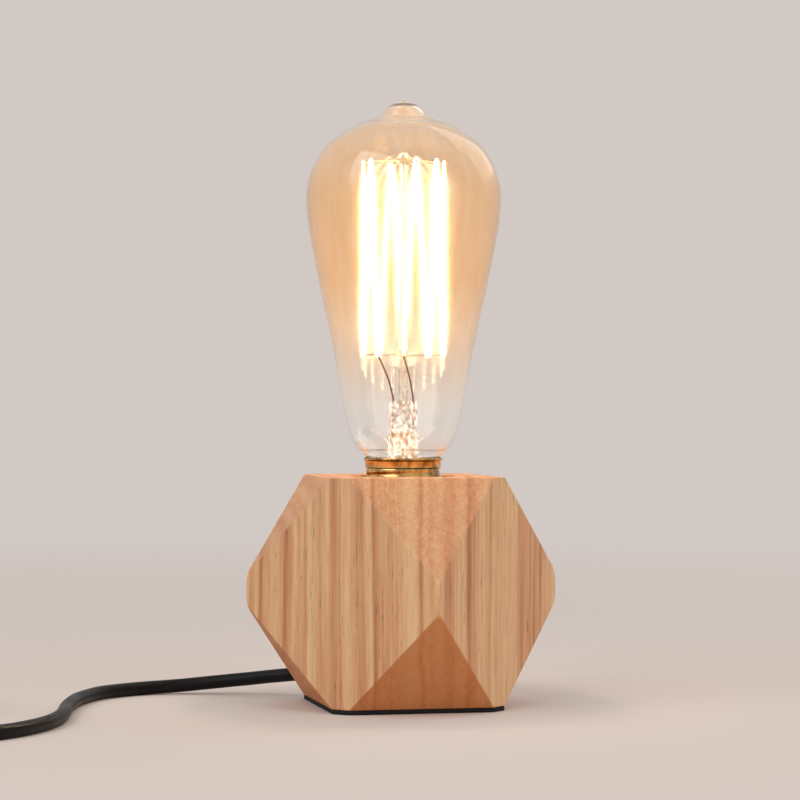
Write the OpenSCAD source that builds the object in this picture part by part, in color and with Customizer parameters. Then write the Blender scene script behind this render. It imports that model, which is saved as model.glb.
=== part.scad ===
// A bare bulb table lamp: a wooden block with its corners cut off, a screw lampholder sunk in
// its top, a squirrel cage filament bulb, and a mains cord with a rocker switch and a plug.
// Millimetres. The origin is the middle of the pad's underside, the sides face along X and Y,
// and the cord leaves through the side at -X.

/* [Wooden block] */
// Width and depth of the block
block_w = 75; // [70:1:100]
// Height of the block
block_h = 75; // [73:1:100]
// Length of the short edge left in the middle of each side, top and bottom
face_edge = 6.7; // [3:0.1:20]
// Length of the short upright edge left at each corner
corner_edge = 9.8; // [3:0.1:20]
// Height of the wiring space under the web that carries the lampholder
cavity_h = 17.5; // [16.5:0.1:19]
// Thickness of the web
web_t = 7; // [4:0.5:8]
// Diameter of the wiring space under the web
cavity_d = 40; // [37:0.5:44]
// Thickness of the pad under the block
pad_t = 1.5; // [1:0.1:4]

/* [Lampholder] */
// Wall of the upper sleeve and of the lower cup's foot round the screw shell
sleeve_wall = 2.6; // [2.3:0.1:4]
// Clearance round the lampholder in its well
holder_gap = 0.75; // [0.3:0.05:1.5]
// Depth of the lampholder's rim below the top of the block
holder_drop = 1.9; // [0.5:0.1:4]
// Wall of the lower cup
cup_wall = 2; // [1.4:0.1:2.2]
// Thickness of the cup's floor
holder_floor = 3; // [2:0.1:4]
// Height of the lower cup
cup_h = 14; // [12:0.1:15]
// Outer diameter of the hollow nipple
nipple_d = 10; // [9:0.1:11]
// Bore of the hollow nipple
nipple_bore = 8; // [7.4:0.1:8.2]
// Width across the flats of the nut
nut_af = 14; // [13:0.1:17]
// Height of the nut
nut_h = 4; // [2.5:0.1:5]

/* [Screw thread] */
// Outer diameter of the bulb's thread
thread_d = 26.4; // [26:0.05:26.6]
// Depth of the thread
thread_depth = 1.05; // [0.8:0.05:1.2]
// Pitch of the thread
thread_pitch = 3.629; // [3.2:0.001:4]
// Clearance between the bulb's thread and the lampholder's
thread_gap = 0.35; // [0.3:0.01:0.45]
// Thickness of the brass sheet
sheet_t = 0.35; // [0.25:0.01:0.4]

/* [Bulb] */
// Largest diameter of the glass
glass_d = 65; // [60:0.5:80]
// Height of the glass above the brass cap
glass_h = 119.2; // [112:0.1:150]
// Wall of the glass
glass_t = 0.8; // [0.6:0.05:1.2]
// Height of the cap's rim above the top of the block
cap_show = 6; // [5.6:0.1:7]
// Length of the brass cap with its insulator and contact
cap_h = 25.5; // [25.2:0.1:26.5]
// Diameter of the filament cage at the top
cage_top_d = 27; // [22:0.5:29]
// Diameter of the filament cage at the bottom
cage_low_d = 28.4; // [22:0.1:30]
// Height of the cage's top above the cap's rim
cage_top = 98.9; // [90:0.1:101]
// Height of the cage's bottom above the cap's rim
cage_low = 34; // [30:0.1:50]
// Number of filament loops at the top of the cage
cage_loops = 9; // [5:1:12]
// Thickness of the filament
filament_d = 0.45; // [0.3:0.01:0.6]
// Thickness of the support wires
hook_d = 0.4; // [0.3:0.01:0.5]
// Diameter of the glass rod in the middle
rod_d = 3; // [2:0.1:4]
// Angle that the bulb is screwed round to
bulb_turn = -57.7; // [-180:0.1:180]

/* [Cord] */
// Diameter of the round cord
cord_d = 4.6; // [4:0.1:4.7]
// Diameter of each insulated core
core_d = 2; // [1.6:0.1:2.1]
// Height of the cord's hole above the floor
cord_z = 8; // [7.4:0.1:9.5]
// Diameter of the bush in the cord's hole
bush_d = 8; // [7.4:0.1:9]
// Distance from one turn of the coil to the next, across and up
turn_step = 5.1; // [5.1:0.01:5.4]
// Radius of the coil's outermost turn
coil_r = 30.5; // [30:0.1:31.2]

/* [Inline switch] */
// Length of the switch
switch_l = 60; // [58:0.5:66]
// Width of the switch
switch_w = 24; // [23:0.1:25]
// Height of the parting line, where the cord enters
switch_z = 8.5; // [8:0.1:9.5]
// Height of the upper shell's top
switch_h = 16; // [15.6:0.1:18]
// Wall of the shells
switch_wall = 1.6; // [1.2:0.1:2]
// Length of the rocker
rocker_l = 17; // [14:0.1:19]
// Width of the rocker
rocker_w = 10; // [8:0.1:11]
// Tilt of the rocker to each side
rocker_tilt = 9; // [6:0.5:9]
// Clearance round the rocker
rocker_gap = 0.4; // [0.4:0.05:0.8]

/* [Mains plug] */
// Width of the plug's face
plug_w = 35.3; // [33:0.1:37]
// Thickness of the plug
plug_t = 13.7; // [13:0.1:15]
// Length of the plug's body
plug_l = 36; // [34:0.5:44]
// Diameter of each pin
pin_d = 4; // [3.8:0.1:4.8]
// Length of each pin outside the body
pin_l = 19; // [17:0.5:20]
// Distance between the pins
pin_step = 19; // [17.5:0.1:20]
// Length of the plug's strain relief
relief_l = 22; // [18:0.5:26]

/* [Hidden] */
$fn = 64;

// Heights through the block, from the floor up
block_top = pad_t + block_h;
block_mid = pad_t + block_h / 2;
rim_z = block_top - holder_drop;
web_low = pad_t + cavity_h;
web_top = web_low + web_t;

// Thread, and the lampholder round it
thread_mean = (thread_d - thread_depth) / 2;
thread_wave = thread_depth / 2;
shell_r = thread_mean + thread_gap + sheet_t;
shell_slack = 0.5;
shell_lip = 0.05;
sleeve_r = shell_r + thread_wave + shell_slack;
holder_r = sleeve_r + sleeve_wall;
well_r = holder_r + holder_gap;
cup_floor_z = web_top + holder_floor;
cup_top_z = web_top + cup_h;
cup_r = holder_r - cup_wall;
spigot_h = 5;
spigot_step = 1.5;
spigot_r = holder_r - spigot_step;
spigot_wall = 1.9;
slip = 0.1;
flange_z = cup_top_z + spigot_h;
flange_h = 3;
insert_top = flange_z + flange_h;
insert_r = spigot_r - spigot_wall - slip;
insert_h = 9;
washer_t = 1;
nipple_low = web_low - nut_h - washer_t - 1;
nipple_top = cup_floor_z + 0.5;
nipple_gap = 0.25;
terminal_size = [6, 7, 6];
terminal_x = 7.6;
terminal_z = flange_z - insert_h + 1;
terminal_top = terminal_z + terminal_size.z;
terminal_bore = 1.2;
screw_up = 2.8;
screw_d = 3;
screw_head_d = 5.4;
screw_head_h = 2;
contact_t = 0.5;
contact_w = 4.4;
bare_d = 1;

// Cord entry
bush_l = 10;
tail_end = -10;
clamp_x = 2 - cavity_d / 2;
clamp_l = 6;
clamp_w = 12.4;
clamp_h = 4;
clamp_screw_y = 4.4;
clamp_screw_d = 1.8;

// Bulb, counted up from the cap's rim
bulb_z = block_top + cap_show;
tip_z = bulb_z - cap_h;
cap_neck_r = thread_mean;
cap_base_h = 4;
cap_foot_z = cap_base_h - cap_h;
cap_rim_h = 0.7;
cap_bead_h = 1.1;
cap_neck_h = 3.2;
cap_rim_t = 0.5;
cap_rim_r = cap_neck_r + cap_rim_t;
cap_foot_r = thread_mean - 1.475;
cap_bore_r = thread_mean - thread_wave - sheet_t;
facet_gap = 0.15;
neck_gap = 0.5;
neck_r = cap_bore_r - neck_gap;
neck_low = -15;
cement_h = 10;
shell_top = rim_z - 1.1;
shell_foot = 2.4;
strap_gap = 0.35;
around = 24;
rows_a_turn = 6;
contact_gap = 0.3;
contact_low = -cap_h;
contact_r = 4.7;
stem_r = 4.9;
pinch_low = 9.5;
pinch_h = 9.4;
stem_top = pinch_low + pinch_h;
pinch_t = 3.4;
wire_d = 0.6;
lead_x = 3.3;
tube_d = 3.4;
button_r = 2.3;
button_up = 0.9;
hook_up = (filament_d + hook_d) / 2 + 0.02;
bend_r = 0.7;
cage_step = 360 / (cage_loops + 1);

// Inline switch, counted from its own middle and from the floor up
switch_arc = 70;
crown_r = 22;
sheath_in = 24;
post_x = 14;
post_y = 7;
post_r = 2.4;
case_head_r = 2;
case_head_h = 1.2;
case_head_low = 0.4;
case_screw_r = 1;
case_screw_top = switch_h - 3.5;
pivot_z = switch_h - 2.8;
pivot_r = 1.2;
pivot_gap = 0.05;
ear_y = 5.4;
ear_t = 2;
ear_cap = 0.2;
ear_edge = 1.4;
rocker_low = 0.6;
rocker_dip = 3.4;
rocker_high = 5;
stem_low = 3.5;
stem_w = 2.2;
plunger_r = 1.2;
plunger_top = -1;
bore_top = 2;
spring_wire = 0.3;
spring_turns = 3;
seesaw_z = 5;
seesaw_tilt = 6;
plunger_reach = pivot_z - seesaw_z - 1.8;
plate_l = 13;
plate_w = 5;
plate_t = 0.5;
plate_rise = 0.9;
plate_bend_r = 0.4;
touch_gap = 0.2;
block_x = 15;
block_l = 6;
block_tall = 5;
block_bore = 0.8;
wire_up = 2.6;
wire_r = 0.9;

// Mains plug, counted from where the cord enters it
plug_neck_w = 12;
pin_root = 12;
sleeve_l = 10;
sleeve_t = 0.4;
snug = 0.02;
relief_low_r = 3.1;
relief_high_r = 4.6;

// The glass's outline as shares of its largest radius and of its height
GLASS_SHAPE = [
    [0.404, 0.010], [0.468, 0.027], [0.545, 0.062], [0.600, 0.121], [0.677, 0.236], [0.760, 0.357],
    [0.843, 0.460], [0.920, 0.561], [0.985, 0.664], [1.000, 0.741], [0.942, 0.808], [0.794, 0.874],
    [0.530, 0.925], [0.330, 0.946], [0.243, 0.960], [0.170, 0.985], [0.000, 1.000]
];

// Cord routes, from the lamp outwards
lie = cord_d / 2;
bush_flange_t = 1.5;
switch_place = [-112, -170, 0];
plug_place = [-186, -120, 0];
coil_centre = [-136.5, -123];
coil_layers = 4;
coil_turns = 8.75;
coil_lead = 5;
coil_left = coil_centre.x - coil_r;
coil_near = coil_centre.y - coil_r;
coil_top = lie + (coil_layers - 1) * turn_step;
lead_end = switch_place + [switch_l / 2, 0, switch_z];
link_start = switch_place + [-switch_l / 2, 0, switch_z];
plug_mid = plug_t / 2;
lead_start = [-block_w / 2 - bush_flange_t, 0, cord_z];
square_end = [1, 0, 0];
LEAD_ROUTE = [
    lead_start, lead_start - square_end, [-44, 0, 7.8], [-53, -1, 6.7], [-61, -2, 5.6],
    [-69, -5, 4.6], [-77, -9, 3.6], [-84, -14, 2.8], [-90, -21, lie + 0.1], [-93, -30, lie],
    [-94, -42, lie], [-91, -54, lie], [-86, -66, lie], [-79, -78, lie], [-71, -90, lie],
    [-63, -101, lie], [-56, -113, lie], [-51, -125, lie], [-48, -138, lie], [-47.5, -149, lie],
    [-49.5, -159, lie + 0.2], [-56.5, -167, 3.4], [-65, -170, 5.2],
    lead_end + [7, 0, -0.7], lead_end + square_end, lead_end
];
LINK_ROUTE = [
    link_start, link_start - square_end, link_start - [5, 0, 0.3], [-155, -168.5, 6.2],
    [-162.5, -163, 3.9], [-166.5, -154, lie + 0.2], [coil_left, -144, lie], [coil_left, -136, lie],
    [coil_left, coil_centre.y - coil_lead, lie]
];
coil_end = [coil_centre.x - coil_lead, coil_near, coil_top];
END_ROUTE = [
    coil_end, coil_end - square_end, coil_end - [5.5, 0, 0.8], [-152, -153.5, 14.8],
    [-160, -152.5, 12.6], [-168, -150, 10.4], [-176, -146, 8.6], [-182, -140, 7.3],
    [-185.5, -133, plug_mid], [plug_place.x, -126, plug_mid], [plug_place.x, plug_place.y, plug_mid]
];
loop_rings = 24;
coil_sides = 6;
cord_sides = 8;

function unit(v) = v / norm(v);
function chords(p) = [
    for (i = [0 : len(p) - 1]) unit(p[min(i + 1, len(p) - 1)] - p[max(i - 1, 0)])
];
// A side vector for each ring, carried along the route so that the tube never twists
function carried(t, n, i = 1) = i >= len(t)
    ? n
    : carried(t, concat(n, [unit(n[i - 1] - (n[i - 1] * t[i]) * t[i])]), i + 1);
function spline(a, b, c, d, u) = 0.5 * (
    2 * b + u * (c - a) + u * u * (2 * a - 5 * b + 4 * c - d) + u * u * u * (3 * b - a - 3 * c + d)
);
function smooth(p, steps) = [
    for (i = [0 : len(p) - 2]) for (s = [0 : steps - 1])
        spline(p[max(i - 1, 0)], p[i], p[i + 1], p[min(i + 2, len(p) - 1)], s / steps),
    p[len(p) - 1]
];
function polar(r, a, z) = [r * cos(a), r * sin(a), z];

// Triangles over rings of m points each, closed at both ends
function ring_faces(rings, m) = concat(
    [for (i = [0 : rings - 2]) for (k = [0 : m - 1])
        [i * m + k, i * m + (k + 1) % m, (i + 1) * m + k]],
    [for (i = [0 : rings - 2]) for (k = [0 : m - 1])
        [i * m + (k + 1) % m, (i + 1) * m + (k + 1) % m, (i + 1) * m + k]],
    [for (k = [1 : m - 2]) [0, k + 1, k]],
    [for (k = [1 : m - 2]) [0, k, k + 1] + (rings - 1) * m * [1, 1, 1]]
);

module tube(path, r, m, side = [0, 0, 1]) {
    ways = chords(path);
    sides = carried(ways, [unit(cross(ways[0], side))]);
    polyhedron(
        points = [
            for (i = [0 : len(path) - 1]) for (k = [0 : m - 1])
                path[i] + r * (cos(360 * k / m) * sides[i] + sin(360 * k / m) * cross(sides[i], ways[i]))
        ],
        faces = ring_faces(len(path), m)
    );
}

module at_angles(count, first = 0) {
    for (i = [0 : count - 1]) rotate([0, 0, first + i * 360 / count]) children();
}

module ring(r_out, r_in, h) {
    difference() {
        cylinder(r = r_out, h = h);
        translate([0, 0, -1]) cylinder(r = r_in, h = h + 2);
    }
}

module bar(a, b, d) {
    // A straight round wire from one point to another
    way = b - a;
    translate(a)
        rotate([0, acos(way.z / norm(way)), atan2(way.y, way.x)])
            cylinder(d = d, h = norm(way), $fn = 16);
}

// Wooden block -----------------------------------------------------------------------------

module corner_cuts() {
    // Planes through the ends of the edges that stay
    half_w = block_w / 2;
    half_h = block_h / 2;
    normal = [half_h - corner_edge / 2, half_h - corner_edge / 2, half_w - face_edge / 2];
    reach = normal * [half_w, half_w, corner_edge / 2] / norm(normal);
    tilt = atan2(norm([normal.x, normal.y]), normal.z);
    far = block_w + block_h;
    for (flip = [0, 1]) mirror([0, 0, flip]) at_angles(4, 45)
        rotate([0, tilt, 0]) translate([-far / 2, -far / 2, reach]) cube(far);
}

module wood_block() {
    color("burlywood") difference() {
        translate([0, 0, block_mid]) difference() {
            cube([block_w, block_w, block_h], center = true);
            corner_cuts();
        }
        translate([0, 0, web_top]) cylinder(r = well_r, h = block_h);
        translate([0, 0, pad_t - 1]) cylinder(d = cavity_d, h = web_low - pad_t + 1);
        translate([0, 0, web_low - 1]) cylinder(d = nipple_d + 2 * nipple_gap, h = web_t + 2);
        translate([-block_w / 2 - 1, 0, cord_z])
            rotate([0, 90, 0]) cylinder(d = bush_d, h = block_w / 2 + 1);
    }
}

module base_pad() {
    half_w = block_w / 2;
    half_e = face_edge / 2;
    color([0.08, 0.08, 0.08]) linear_extrude(pad_t) polygon([
        for (a = [0 : 90 : 270]) for (side = [-half_e, half_e])
            [half_w * cos(a) - side * sin(a), half_w * sin(a) + side * cos(a)]
    ]);
}

// Lampholder -------------------------------------------------------------------------------

module holder_cup() {
    hole_r = nipple_d / 2 + slip;
    color([0.1, 0.1, 0.1]) rotate_extrude() polygon([
        [hole_r, web_top], [holder_r, web_top], [holder_r, cup_top_z],
        [spigot_r, cup_top_z], [spigot_r, flange_z], [spigot_r - spigot_wall, flange_z],
        [spigot_r - spigot_wall, cup_top_z - 2], [cup_r, cup_top_z - 3], [cup_r, cup_floor_z],
        [hole_r, cup_floor_z]
    ]);
}

module holder_sleeve() {
    color([0.1, 0.1, 0.1]) rotate_extrude() polygon([
        [spigot_r + slip, cup_top_z], [holder_r, cup_top_z], [holder_r, rim_z],
        [sleeve_r, rim_z], [sleeve_r, insert_top], [spigot_r + slip, insert_top]
    ]);
}

module holder_insert() {
    pocket = terminal_size + 2 * slip * [1, 1, 1];
    slot = [contact_t + 2 * slip, contact_w + 2 * slip];
    color("ivory") difference() {
        union() {
            translate([0, 0, flange_z]) cylinder(r = spigot_r, h = flange_h);
            translate([0, 0, flange_z - insert_h]) cylinder(r = insert_r, h = insert_h + 0.5);
        }
        at_angles(2) translate([terminal_x, 0, 0]) {
            translate([-pocket.x / 2, -pocket.y / 2, terminal_z - insert_h])
                cube([pocket.x, insert_r + pocket.y, terminal_size.z + insert_h]);
            translate([-slot.x / 2, -slot.y / 2, terminal_z])
                cube([slot.x, slot.y, insert_h + flange_h]);
        }
    }
}

module terminals() {
    color("goldenrod") at_angles(2) translate([terminal_x, 0, terminal_z]) difference() {
        translate([-terminal_size.x / 2, -terminal_size.y / 2, 0]) cube(terminal_size);
        translate([0, 0, -1]) cylinder(r = terminal_bore, h = terminal_size.z - 1);
        translate([0, 0, screw_up]) rotate([-90, 0, 0]) cylinder(d = screw_d, h = terminal_size.y);
    }
}

module terminal_screws() {
    color("silver") at_angles(2) translate([terminal_x, 0, terminal_z + screw_up])
        rotate([-90, 0, 0]) {
            translate([0, 0, bare_d / 2]) cylinder(d = screw_d - slip, h = terminal_size.y / 2);
            translate([0, 0, terminal_size.y / 2 + bare_d / 2]) difference() {
                cylinder(d = screw_head_d, h = screw_head_h);
                translate([-screw_head_d, -0.4, screw_head_h - 0.9])
                    cube([2 * screw_head_d, 0.8, 2]);
            }
        }
}

// The outline of a sheet brass tube: rows of height, radius and depth of the thread's wave
function thread_fade(z, low, high) =
    max(0, min(1, (z - low) / thread_pitch, (high - z) / thread_pitch));
function thread_rows(low, high, mean, grow) = [
    for (i = [0 : floor((high - low) * rows_a_turn / thread_pitch)])
        let (z = low + i * thread_pitch / rows_a_turn, f = thread_fade(z, low, high))
            [z, mean + grow * thread_wave * (1 - f), thread_wave * f]
];

module thread_sheet(rows) {
    m = 2 * len(rows);
    outline = concat(
        [for (row = rows) [row.x, row.y, row.z]],
        [for (i = [len(rows) - 1 : -1 : 0]) [rows[i].x, rows[i].y - sheet_t, rows[i].z]]
    );
    polyhedron(
        points = [
            for (k = [0 : around - 1]) for (row = outline)
                let (a = 360 * k / around)
                    polar(row.y + row.z * cos(360 * row.x / thread_pitch - a), a, row.x)
        ],
        faces = [
            for (k = [0 : around - 1]) for (j = [0 : m - 1]) for (half = [0, 1])
                let (a = k * m + j, b = k * m + (j + 1) % m,
                     c = ((k + 1) % around) * m + (j + 1) % m, d = ((k + 1) % around) * m + j)
                    half == 0 ? [a, b, c] : [a, c, d]
        ]
    );
}

module screw_shell() {
    color("darkkhaki") thread_sheet(concat(
        [[insert_top, shell_r, 0], [insert_top + shell_foot, shell_r, 0]],
        thread_rows(insert_top + shell_foot + 0.8, shell_top - 1, shell_r, 1),
        [[shell_top, shell_r + thread_wave + shell_lip, 0]]
    ));
}

module shell_strap() {
    reach_x = shell_r - sheet_t - strap_gap;
    strap_top = insert_top + shell_foot - 0.2;
    color("goldenrod") translate([0, contact_w / 2, 0]) rotate([90, 0, 0])
        linear_extrude(contact_w) polygon([
            [contact_t / 2 - terminal_x, terminal_top],
            [contact_t / 2 - terminal_x, insert_top + contact_t],
            [contact_t - reach_x, insert_top + contact_t], [contact_t - reach_x, strap_top],
            [-reach_x, strap_top], [-reach_x, insert_top],
            [-contact_t / 2 - terminal_x, insert_top], [-contact_t / 2 - terminal_x, terminal_top]
        ]);
}

module centre_contact() {
    // The spring's free tip turns down by a share of the room over the insert
    high = tip_z - contact_gap;
    turned_down = 16 / 87 * (high - insert_top);
    bend = insert_top + 1.3;
    color("goldenrod") translate([0, contact_w / 2, 0]) rotate([90, 0, 0])
        linear_extrude(contact_w) polygon([
            [terminal_x - contact_t / 2, terminal_top], [terminal_x + contact_t / 2, terminal_top],
            [terminal_x + contact_t / 2, bend], [2.2, high], [-2.2, high],
            [-4.2, high - turned_down], [-3.9, high - turned_down - 0.4], [-2, high - contact_t],
            [2, high - contact_t],
            [terminal_x - contact_t / 2, bend - 0.2]
        ]);
}

module nipple() {
    color("lightgrey") translate([0, 0, nipple_low])
        ring(nipple_d / 2, nipple_bore / 2, nipple_top - nipple_low);
}

module nipple_washer() {
    color("lightgrey") translate([0, 0, web_low - washer_t])
        ring(nut_af / 2 + 2, nipple_d / 2 + nipple_gap, washer_t);
}

module nipple_nut() {
    color("darkgrey") translate([0, 0, web_low - washer_t - nut_h]) difference() {
        cylinder(d = nut_af / cos(30), h = nut_h, $fn = 6);
        translate([0, 0, -1]) cylinder(r = nipple_d / 2 + 0.05, h = nut_h + 2);
    }
}

// Cord entry -------------------------------------------------------------------------------

module along_x(x) {
    translate([x, 0, cord_z]) rotate([0, 90, 0]) children();
}

module cord_bush() {
    color([0.07, 0.07, 0.07]) along_x(-block_w / 2) difference() {
        union() {
            translate([0, 0, -bush_flange_t]) cylinder(d = bush_d + 3, h = bush_flange_t);
            cylinder(d = bush_d - 2 * slip, h = bush_l);
        }
        translate([0, 0, -5]) cylinder(d = cord_d + slip, h = bush_l + 10);
    }
}

module cord_tail() {
    start = -block_w / 2 - bush_flange_t;
    color([0.06, 0.06, 0.06]) along_x(start) cylinder(d = cord_d, h = tail_end - start);
}

module clamp_half(up) {
    along_x(clamp_x) rotate([0, 0, up ? 180 : 0]) difference() {
        translate([0, -clamp_w / 2, 0]) cube([clamp_h, clamp_w, clamp_l]);
        translate([0, 0, -1]) cylinder(d = cord_d, h = clamp_l + 2);
        for (side = [-1, 1]) translate([-1, side * clamp_screw_y, clamp_l / 2])
            rotate([0, 90, 0]) cylinder(d = clamp_screw_d + slip, h = clamp_h + 2);
    }
}

module clamp_lower() {
    color([0.15, 0.15, 0.15]) clamp_half(false);
}

module clamp_upper() {
    color([0.15, 0.15, 0.15]) clamp_half(true);
}

module clamp_screws() {
    color("silver") for (side = [-1, 1])
        translate([clamp_x + clamp_l / 2, side * clamp_screw_y, cord_z - clamp_h + 0.5]) {
            cylinder(d = clamp_screw_d, h = 2 * clamp_h - 0.5);
            translate([0, 0, 2 * clamp_h - 0.5]) cylinder(d = 2 * clamp_screw_d, h = 1);
        }
}

// An insulated core from the end of the sheath, up through the nipple and into a terminal
function core_route(side) = [
    [tail_end, 1.15 * side, cord_z], [tail_end + 3, 1.2 * side, cord_z],
    [-4.2, 1.25 * side, cord_z + 0.7], [-2, 1.3 * side, nipple_low - 2.6],
    [-0.8, 1.3 * side, nipple_low], [0, 1.3 * side, nipple_low + 4],
    [0, 1.3 * side, nipple_top], [1.2 * side, 1.2 * side, nipple_top + 2.1],
    [4.4 * side, 0.8 * side, nipple_top + 3.7], [6.8 * side, 0.2 * side, nipple_top + 5],
    [terminal_x * side, 0, terminal_z - 0.6], [terminal_x * side, 0, terminal_z - 0.1]
];

module core(side) {
    route = core_route(side);
    tube(route, core_d / 2, 8);
    translate(route[len(route) - 1]) cylinder(d = bare_d, h = terminal_size.z - 2.2, $fn = 16);
}

module live_core() {
    color("saddlebrown") core(1);
}

module neutral_core() {
    color("steelblue") core(-1);
}

// Cord outside the lamp --------------------------------------------------------------------

module cord_lead() {
    color([0.06, 0.06, 0.06]) tube(LEAD_ROUTE, cord_d / 2, cord_sides);
}

module cord_link() {
    color([0.06, 0.06, 0.06]) tube(LINK_ROUTE, cord_d / 2, cord_sides);
}

module cord_end() {
    color([0.06, 0.06, 0.06]) tube(END_ROUTE, cord_d / 2, cord_sides);
}

// Layers that spiral in and out by turns, and climb in the half turn where they reverse
layer_turns = coil_turns / coil_layers;
function coil_radius(s) =
    let (layer = min(floor(s / layer_turns), coil_layers - 1), gone = s - layer * layer_turns)
        coil_r - turn_step * (layer % 2 == 0 ? gone : layer_turns - gone);
function coil_height(s) = cord_d / 2 + turn_step * (
    [for (layer = [1 : coil_layers - 1]) max(0, min(1, 2 * (s - layer * layer_turns) + 0.5))]
    * [for (layer = [1 : coil_layers - 1]) 1]
);
function coil_point(s) = [coil_centre.x, coil_centre.y, 0]
    + polar(coil_radius(s), 180 - 360 * s, coil_height(s));
COIL_ROUTE = concat(
    [coil_point(0) - [0, coil_lead, 0]],
    [for (i = [0 : coil_turns * loop_rings]) coil_point(i / loop_rings)],
    [coil_point(coil_turns) - [coil_lead, 0, 0]]
);
function least_gap(p, skip) = min([
    for (i = [0 : len(p) - skip - 1]) min([for (j = [i + skip : len(p) - 1]) norm(p[i] - p[j])])
]) - cord_d;

module cord_coil() {
    echo(least_gap_in_the_coil = least_gap(COIL_ROUTE, loop_rings / 2));
    color([0.06, 0.06, 0.06]) tube(COIL_ROUTE, cord_d / 2, coil_sides);
}

// Bulb -------------------------------------------------------------------------------------

module bulb_frame() {
    translate([0, 0, bulb_z]) rotate([0, 0, bulb_turn]) children();
}

glass_points = concat(
    [[neck_r, neck_low], [neck_r, 0.6 * neck_low], [neck_r, 0.2 * neck_low]],
    [for (p = GLASS_SHAPE) [p.x * glass_d / 2, p.y * glass_h]]
);
glass_line = smooth(glass_points, 4);
glass_ways = chords(glass_line);
glass_inside = [
    for (i = [0 : len(glass_line) - 1]) if (glass_line[i].x > 5 * glass_t)
        glass_line[i] + glass_t * [-glass_ways[i].y, glass_ways[i].x]
];

module bulb_glass() {
    last = glass_inside[len(glass_inside) - 1];
    color("navajowhite", 0.4) bulb_frame() rotate_extrude($fn = 96) polygon(concat(
        glass_line,
        [[0, last.y + 0.3]],
        [for (i = [len(glass_inside) - 1 : -1 : 0]) glass_inside[i]]
    ));
}

module bulb_cap() {
    low = bulb_z + cap_foot_z;
    color("goldenrod") thread_sheet(concat(
        [[low, cap_foot_r, 0]],
        thread_rows(low + 1.1, bulb_z - cap_neck_h - 0.2, thread_mean, -1),
        [[bulb_z - cap_neck_h, cap_neck_r, 0], [bulb_z - cap_bead_h, cap_neck_r, 0],
         [bulb_z - cap_rim_h, cap_rim_r, 0], [bulb_z, cap_rim_r, 0]]
    ));
}

module cap_insulator() {
    seat_r = cap_foot_r - sheet_t - facet_gap;
    color([0.05, 0.05, 0.07]) bulb_frame() rotate_extrude() polygon([
        [1, cap_foot_z + 2], [seat_r, cap_foot_z + 2], [seat_r, cap_foot_z - 0.3],
        [contact_r + 0.5, contact_low + 0.9], [1, contact_low + 0.9]
    ]);
}

module cap_contact() {
    color("lightgrey") bulb_frame() rotate_extrude() polygon([
        [0, contact_low], [contact_r - 1.8, contact_low + 0.15], [contact_r, contact_low + 0.6],
        [contact_r, contact_low + 0.9], [0, contact_low + 0.9]
    ]);
}

module basing_cement() {
    color("tan") bulb_frame() translate([0, 0, neck_low + 1])
        ring(cap_bore_r - facet_gap, neck_r + 0.05, cement_h);
}

module bulb_stem() {
    tube_r = stem_r - glass_t;
    flare_r = neck_r - glass_t - 0.05;
    pinch_y = stem_r - pinch_t / 2 - 0.2;
    color("lightcyan", 0.5) bulb_frame() difference() {
        union() {
            rotate_extrude() polygon([
                [flare_r, neck_low], [flare_r, neck_low + 0.9], [8.1, -12.4], [6.4, -9], [5.3, -4.5],
                [stem_r, 0], [stem_r, pinch_low + 0.2], [0, pinch_low + 0.2], [0, pinch_low - 0.6],
                [tube_r, pinch_low - 0.6], [tube_r, 0], [4.5, -4.8], [5.6, -9.4], [7.3, -12.9],
                [flare_r - 1.2, neck_low]
            ]);
            translate([0, 0, pinch_low]) linear_extrude(pinch_h) {
                square([pinch_t, 2 * pinch_y], center = true);
                for (side = [-1, 1]) translate([0, side * pinch_y]) circle(d = pinch_t);
            }
        }
        for (side = [-1, 1]) translate([0, side * lead_x, pinch_low - 2])
            cylinder(d = wire_d, h = pinch_h + 4);
    }
}

module exhaust_tube() {
    color("lightcyan", 0.5) bulb_frame() translate([0, 0, -16])
        ring(tube_d / 2, tube_d / 2 - glass_t, 16 + pinch_low - 0.6);
}

module centre_rod() {
    r = rod_d / 2;
    low = cage_low + hook_up;
    high = cage_top + button_up;
    color("lightcyan", 0.5) bulb_frame() rotate_extrude() polygon(concat(
        [[0, stem_top], [r, stem_top], [r, low - 1.6], [button_r, low - 1], [button_r, low + 1],
         [r, low + 1.6], [r, high - 1.8], [button_r, high - 1.2]],
        [for (a = [0 : 15 : 90]) [button_r * cos(a), high + button_r * sin(a)]]
    ));
}

module upper_supports() {
    color("silver") bulb_frame() for (k = [0 : cage_loops - 1]) let (a = cage_step * (k + 0.5))
        bar(polar(button_r, a, cage_top + button_up - 0.4),
            polar(cage_top_d / 2 + 0.7, a, cage_top - hook_up), hook_d);
}

module lower_supports() {
    color("silver") bulb_frame() for (k = [1 : cage_loops - 1]) let (a = cage_step * k)
        bar(polar(button_r, a, cage_low + hook_up), polar(cage_low_d / 2 + 0.7, a, cage_low + hook_up),
            hook_d);
}

// One bend of the filament over a hook: up is 1 at the top of the cage and -1 at the bottom
function bend(r, a, z, up) = [
    for (s = [[-1, 0.7], [-0.7, 0.2], [0, 0], [0.7, 0.2], [1, 0.7]])
        polar(r, a + s.x * bend_r * 180 / PI / r, z - up * s.y)
];
function cage_route() = concat(
    [polar(cage_low_d / 2, 0, cage_low + wire_d)],
    [for (k = [0 : cage_loops - 1]) each concat(
        bend(cage_top_d / 2, cage_step * (k + 0.5), cage_top, 1),
        k < cage_loops - 1 ? bend(cage_low_d / 2, cage_step * (k + 1), cage_low, -1) : []
    )],
    [polar(cage_low_d / 2, -cage_step, cage_low + wire_d)]
);

module filament() {
    color("orange") bulb_frame() tube(cage_route(), filament_d / 2, 5, [0, 1, 0]);
}

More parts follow.
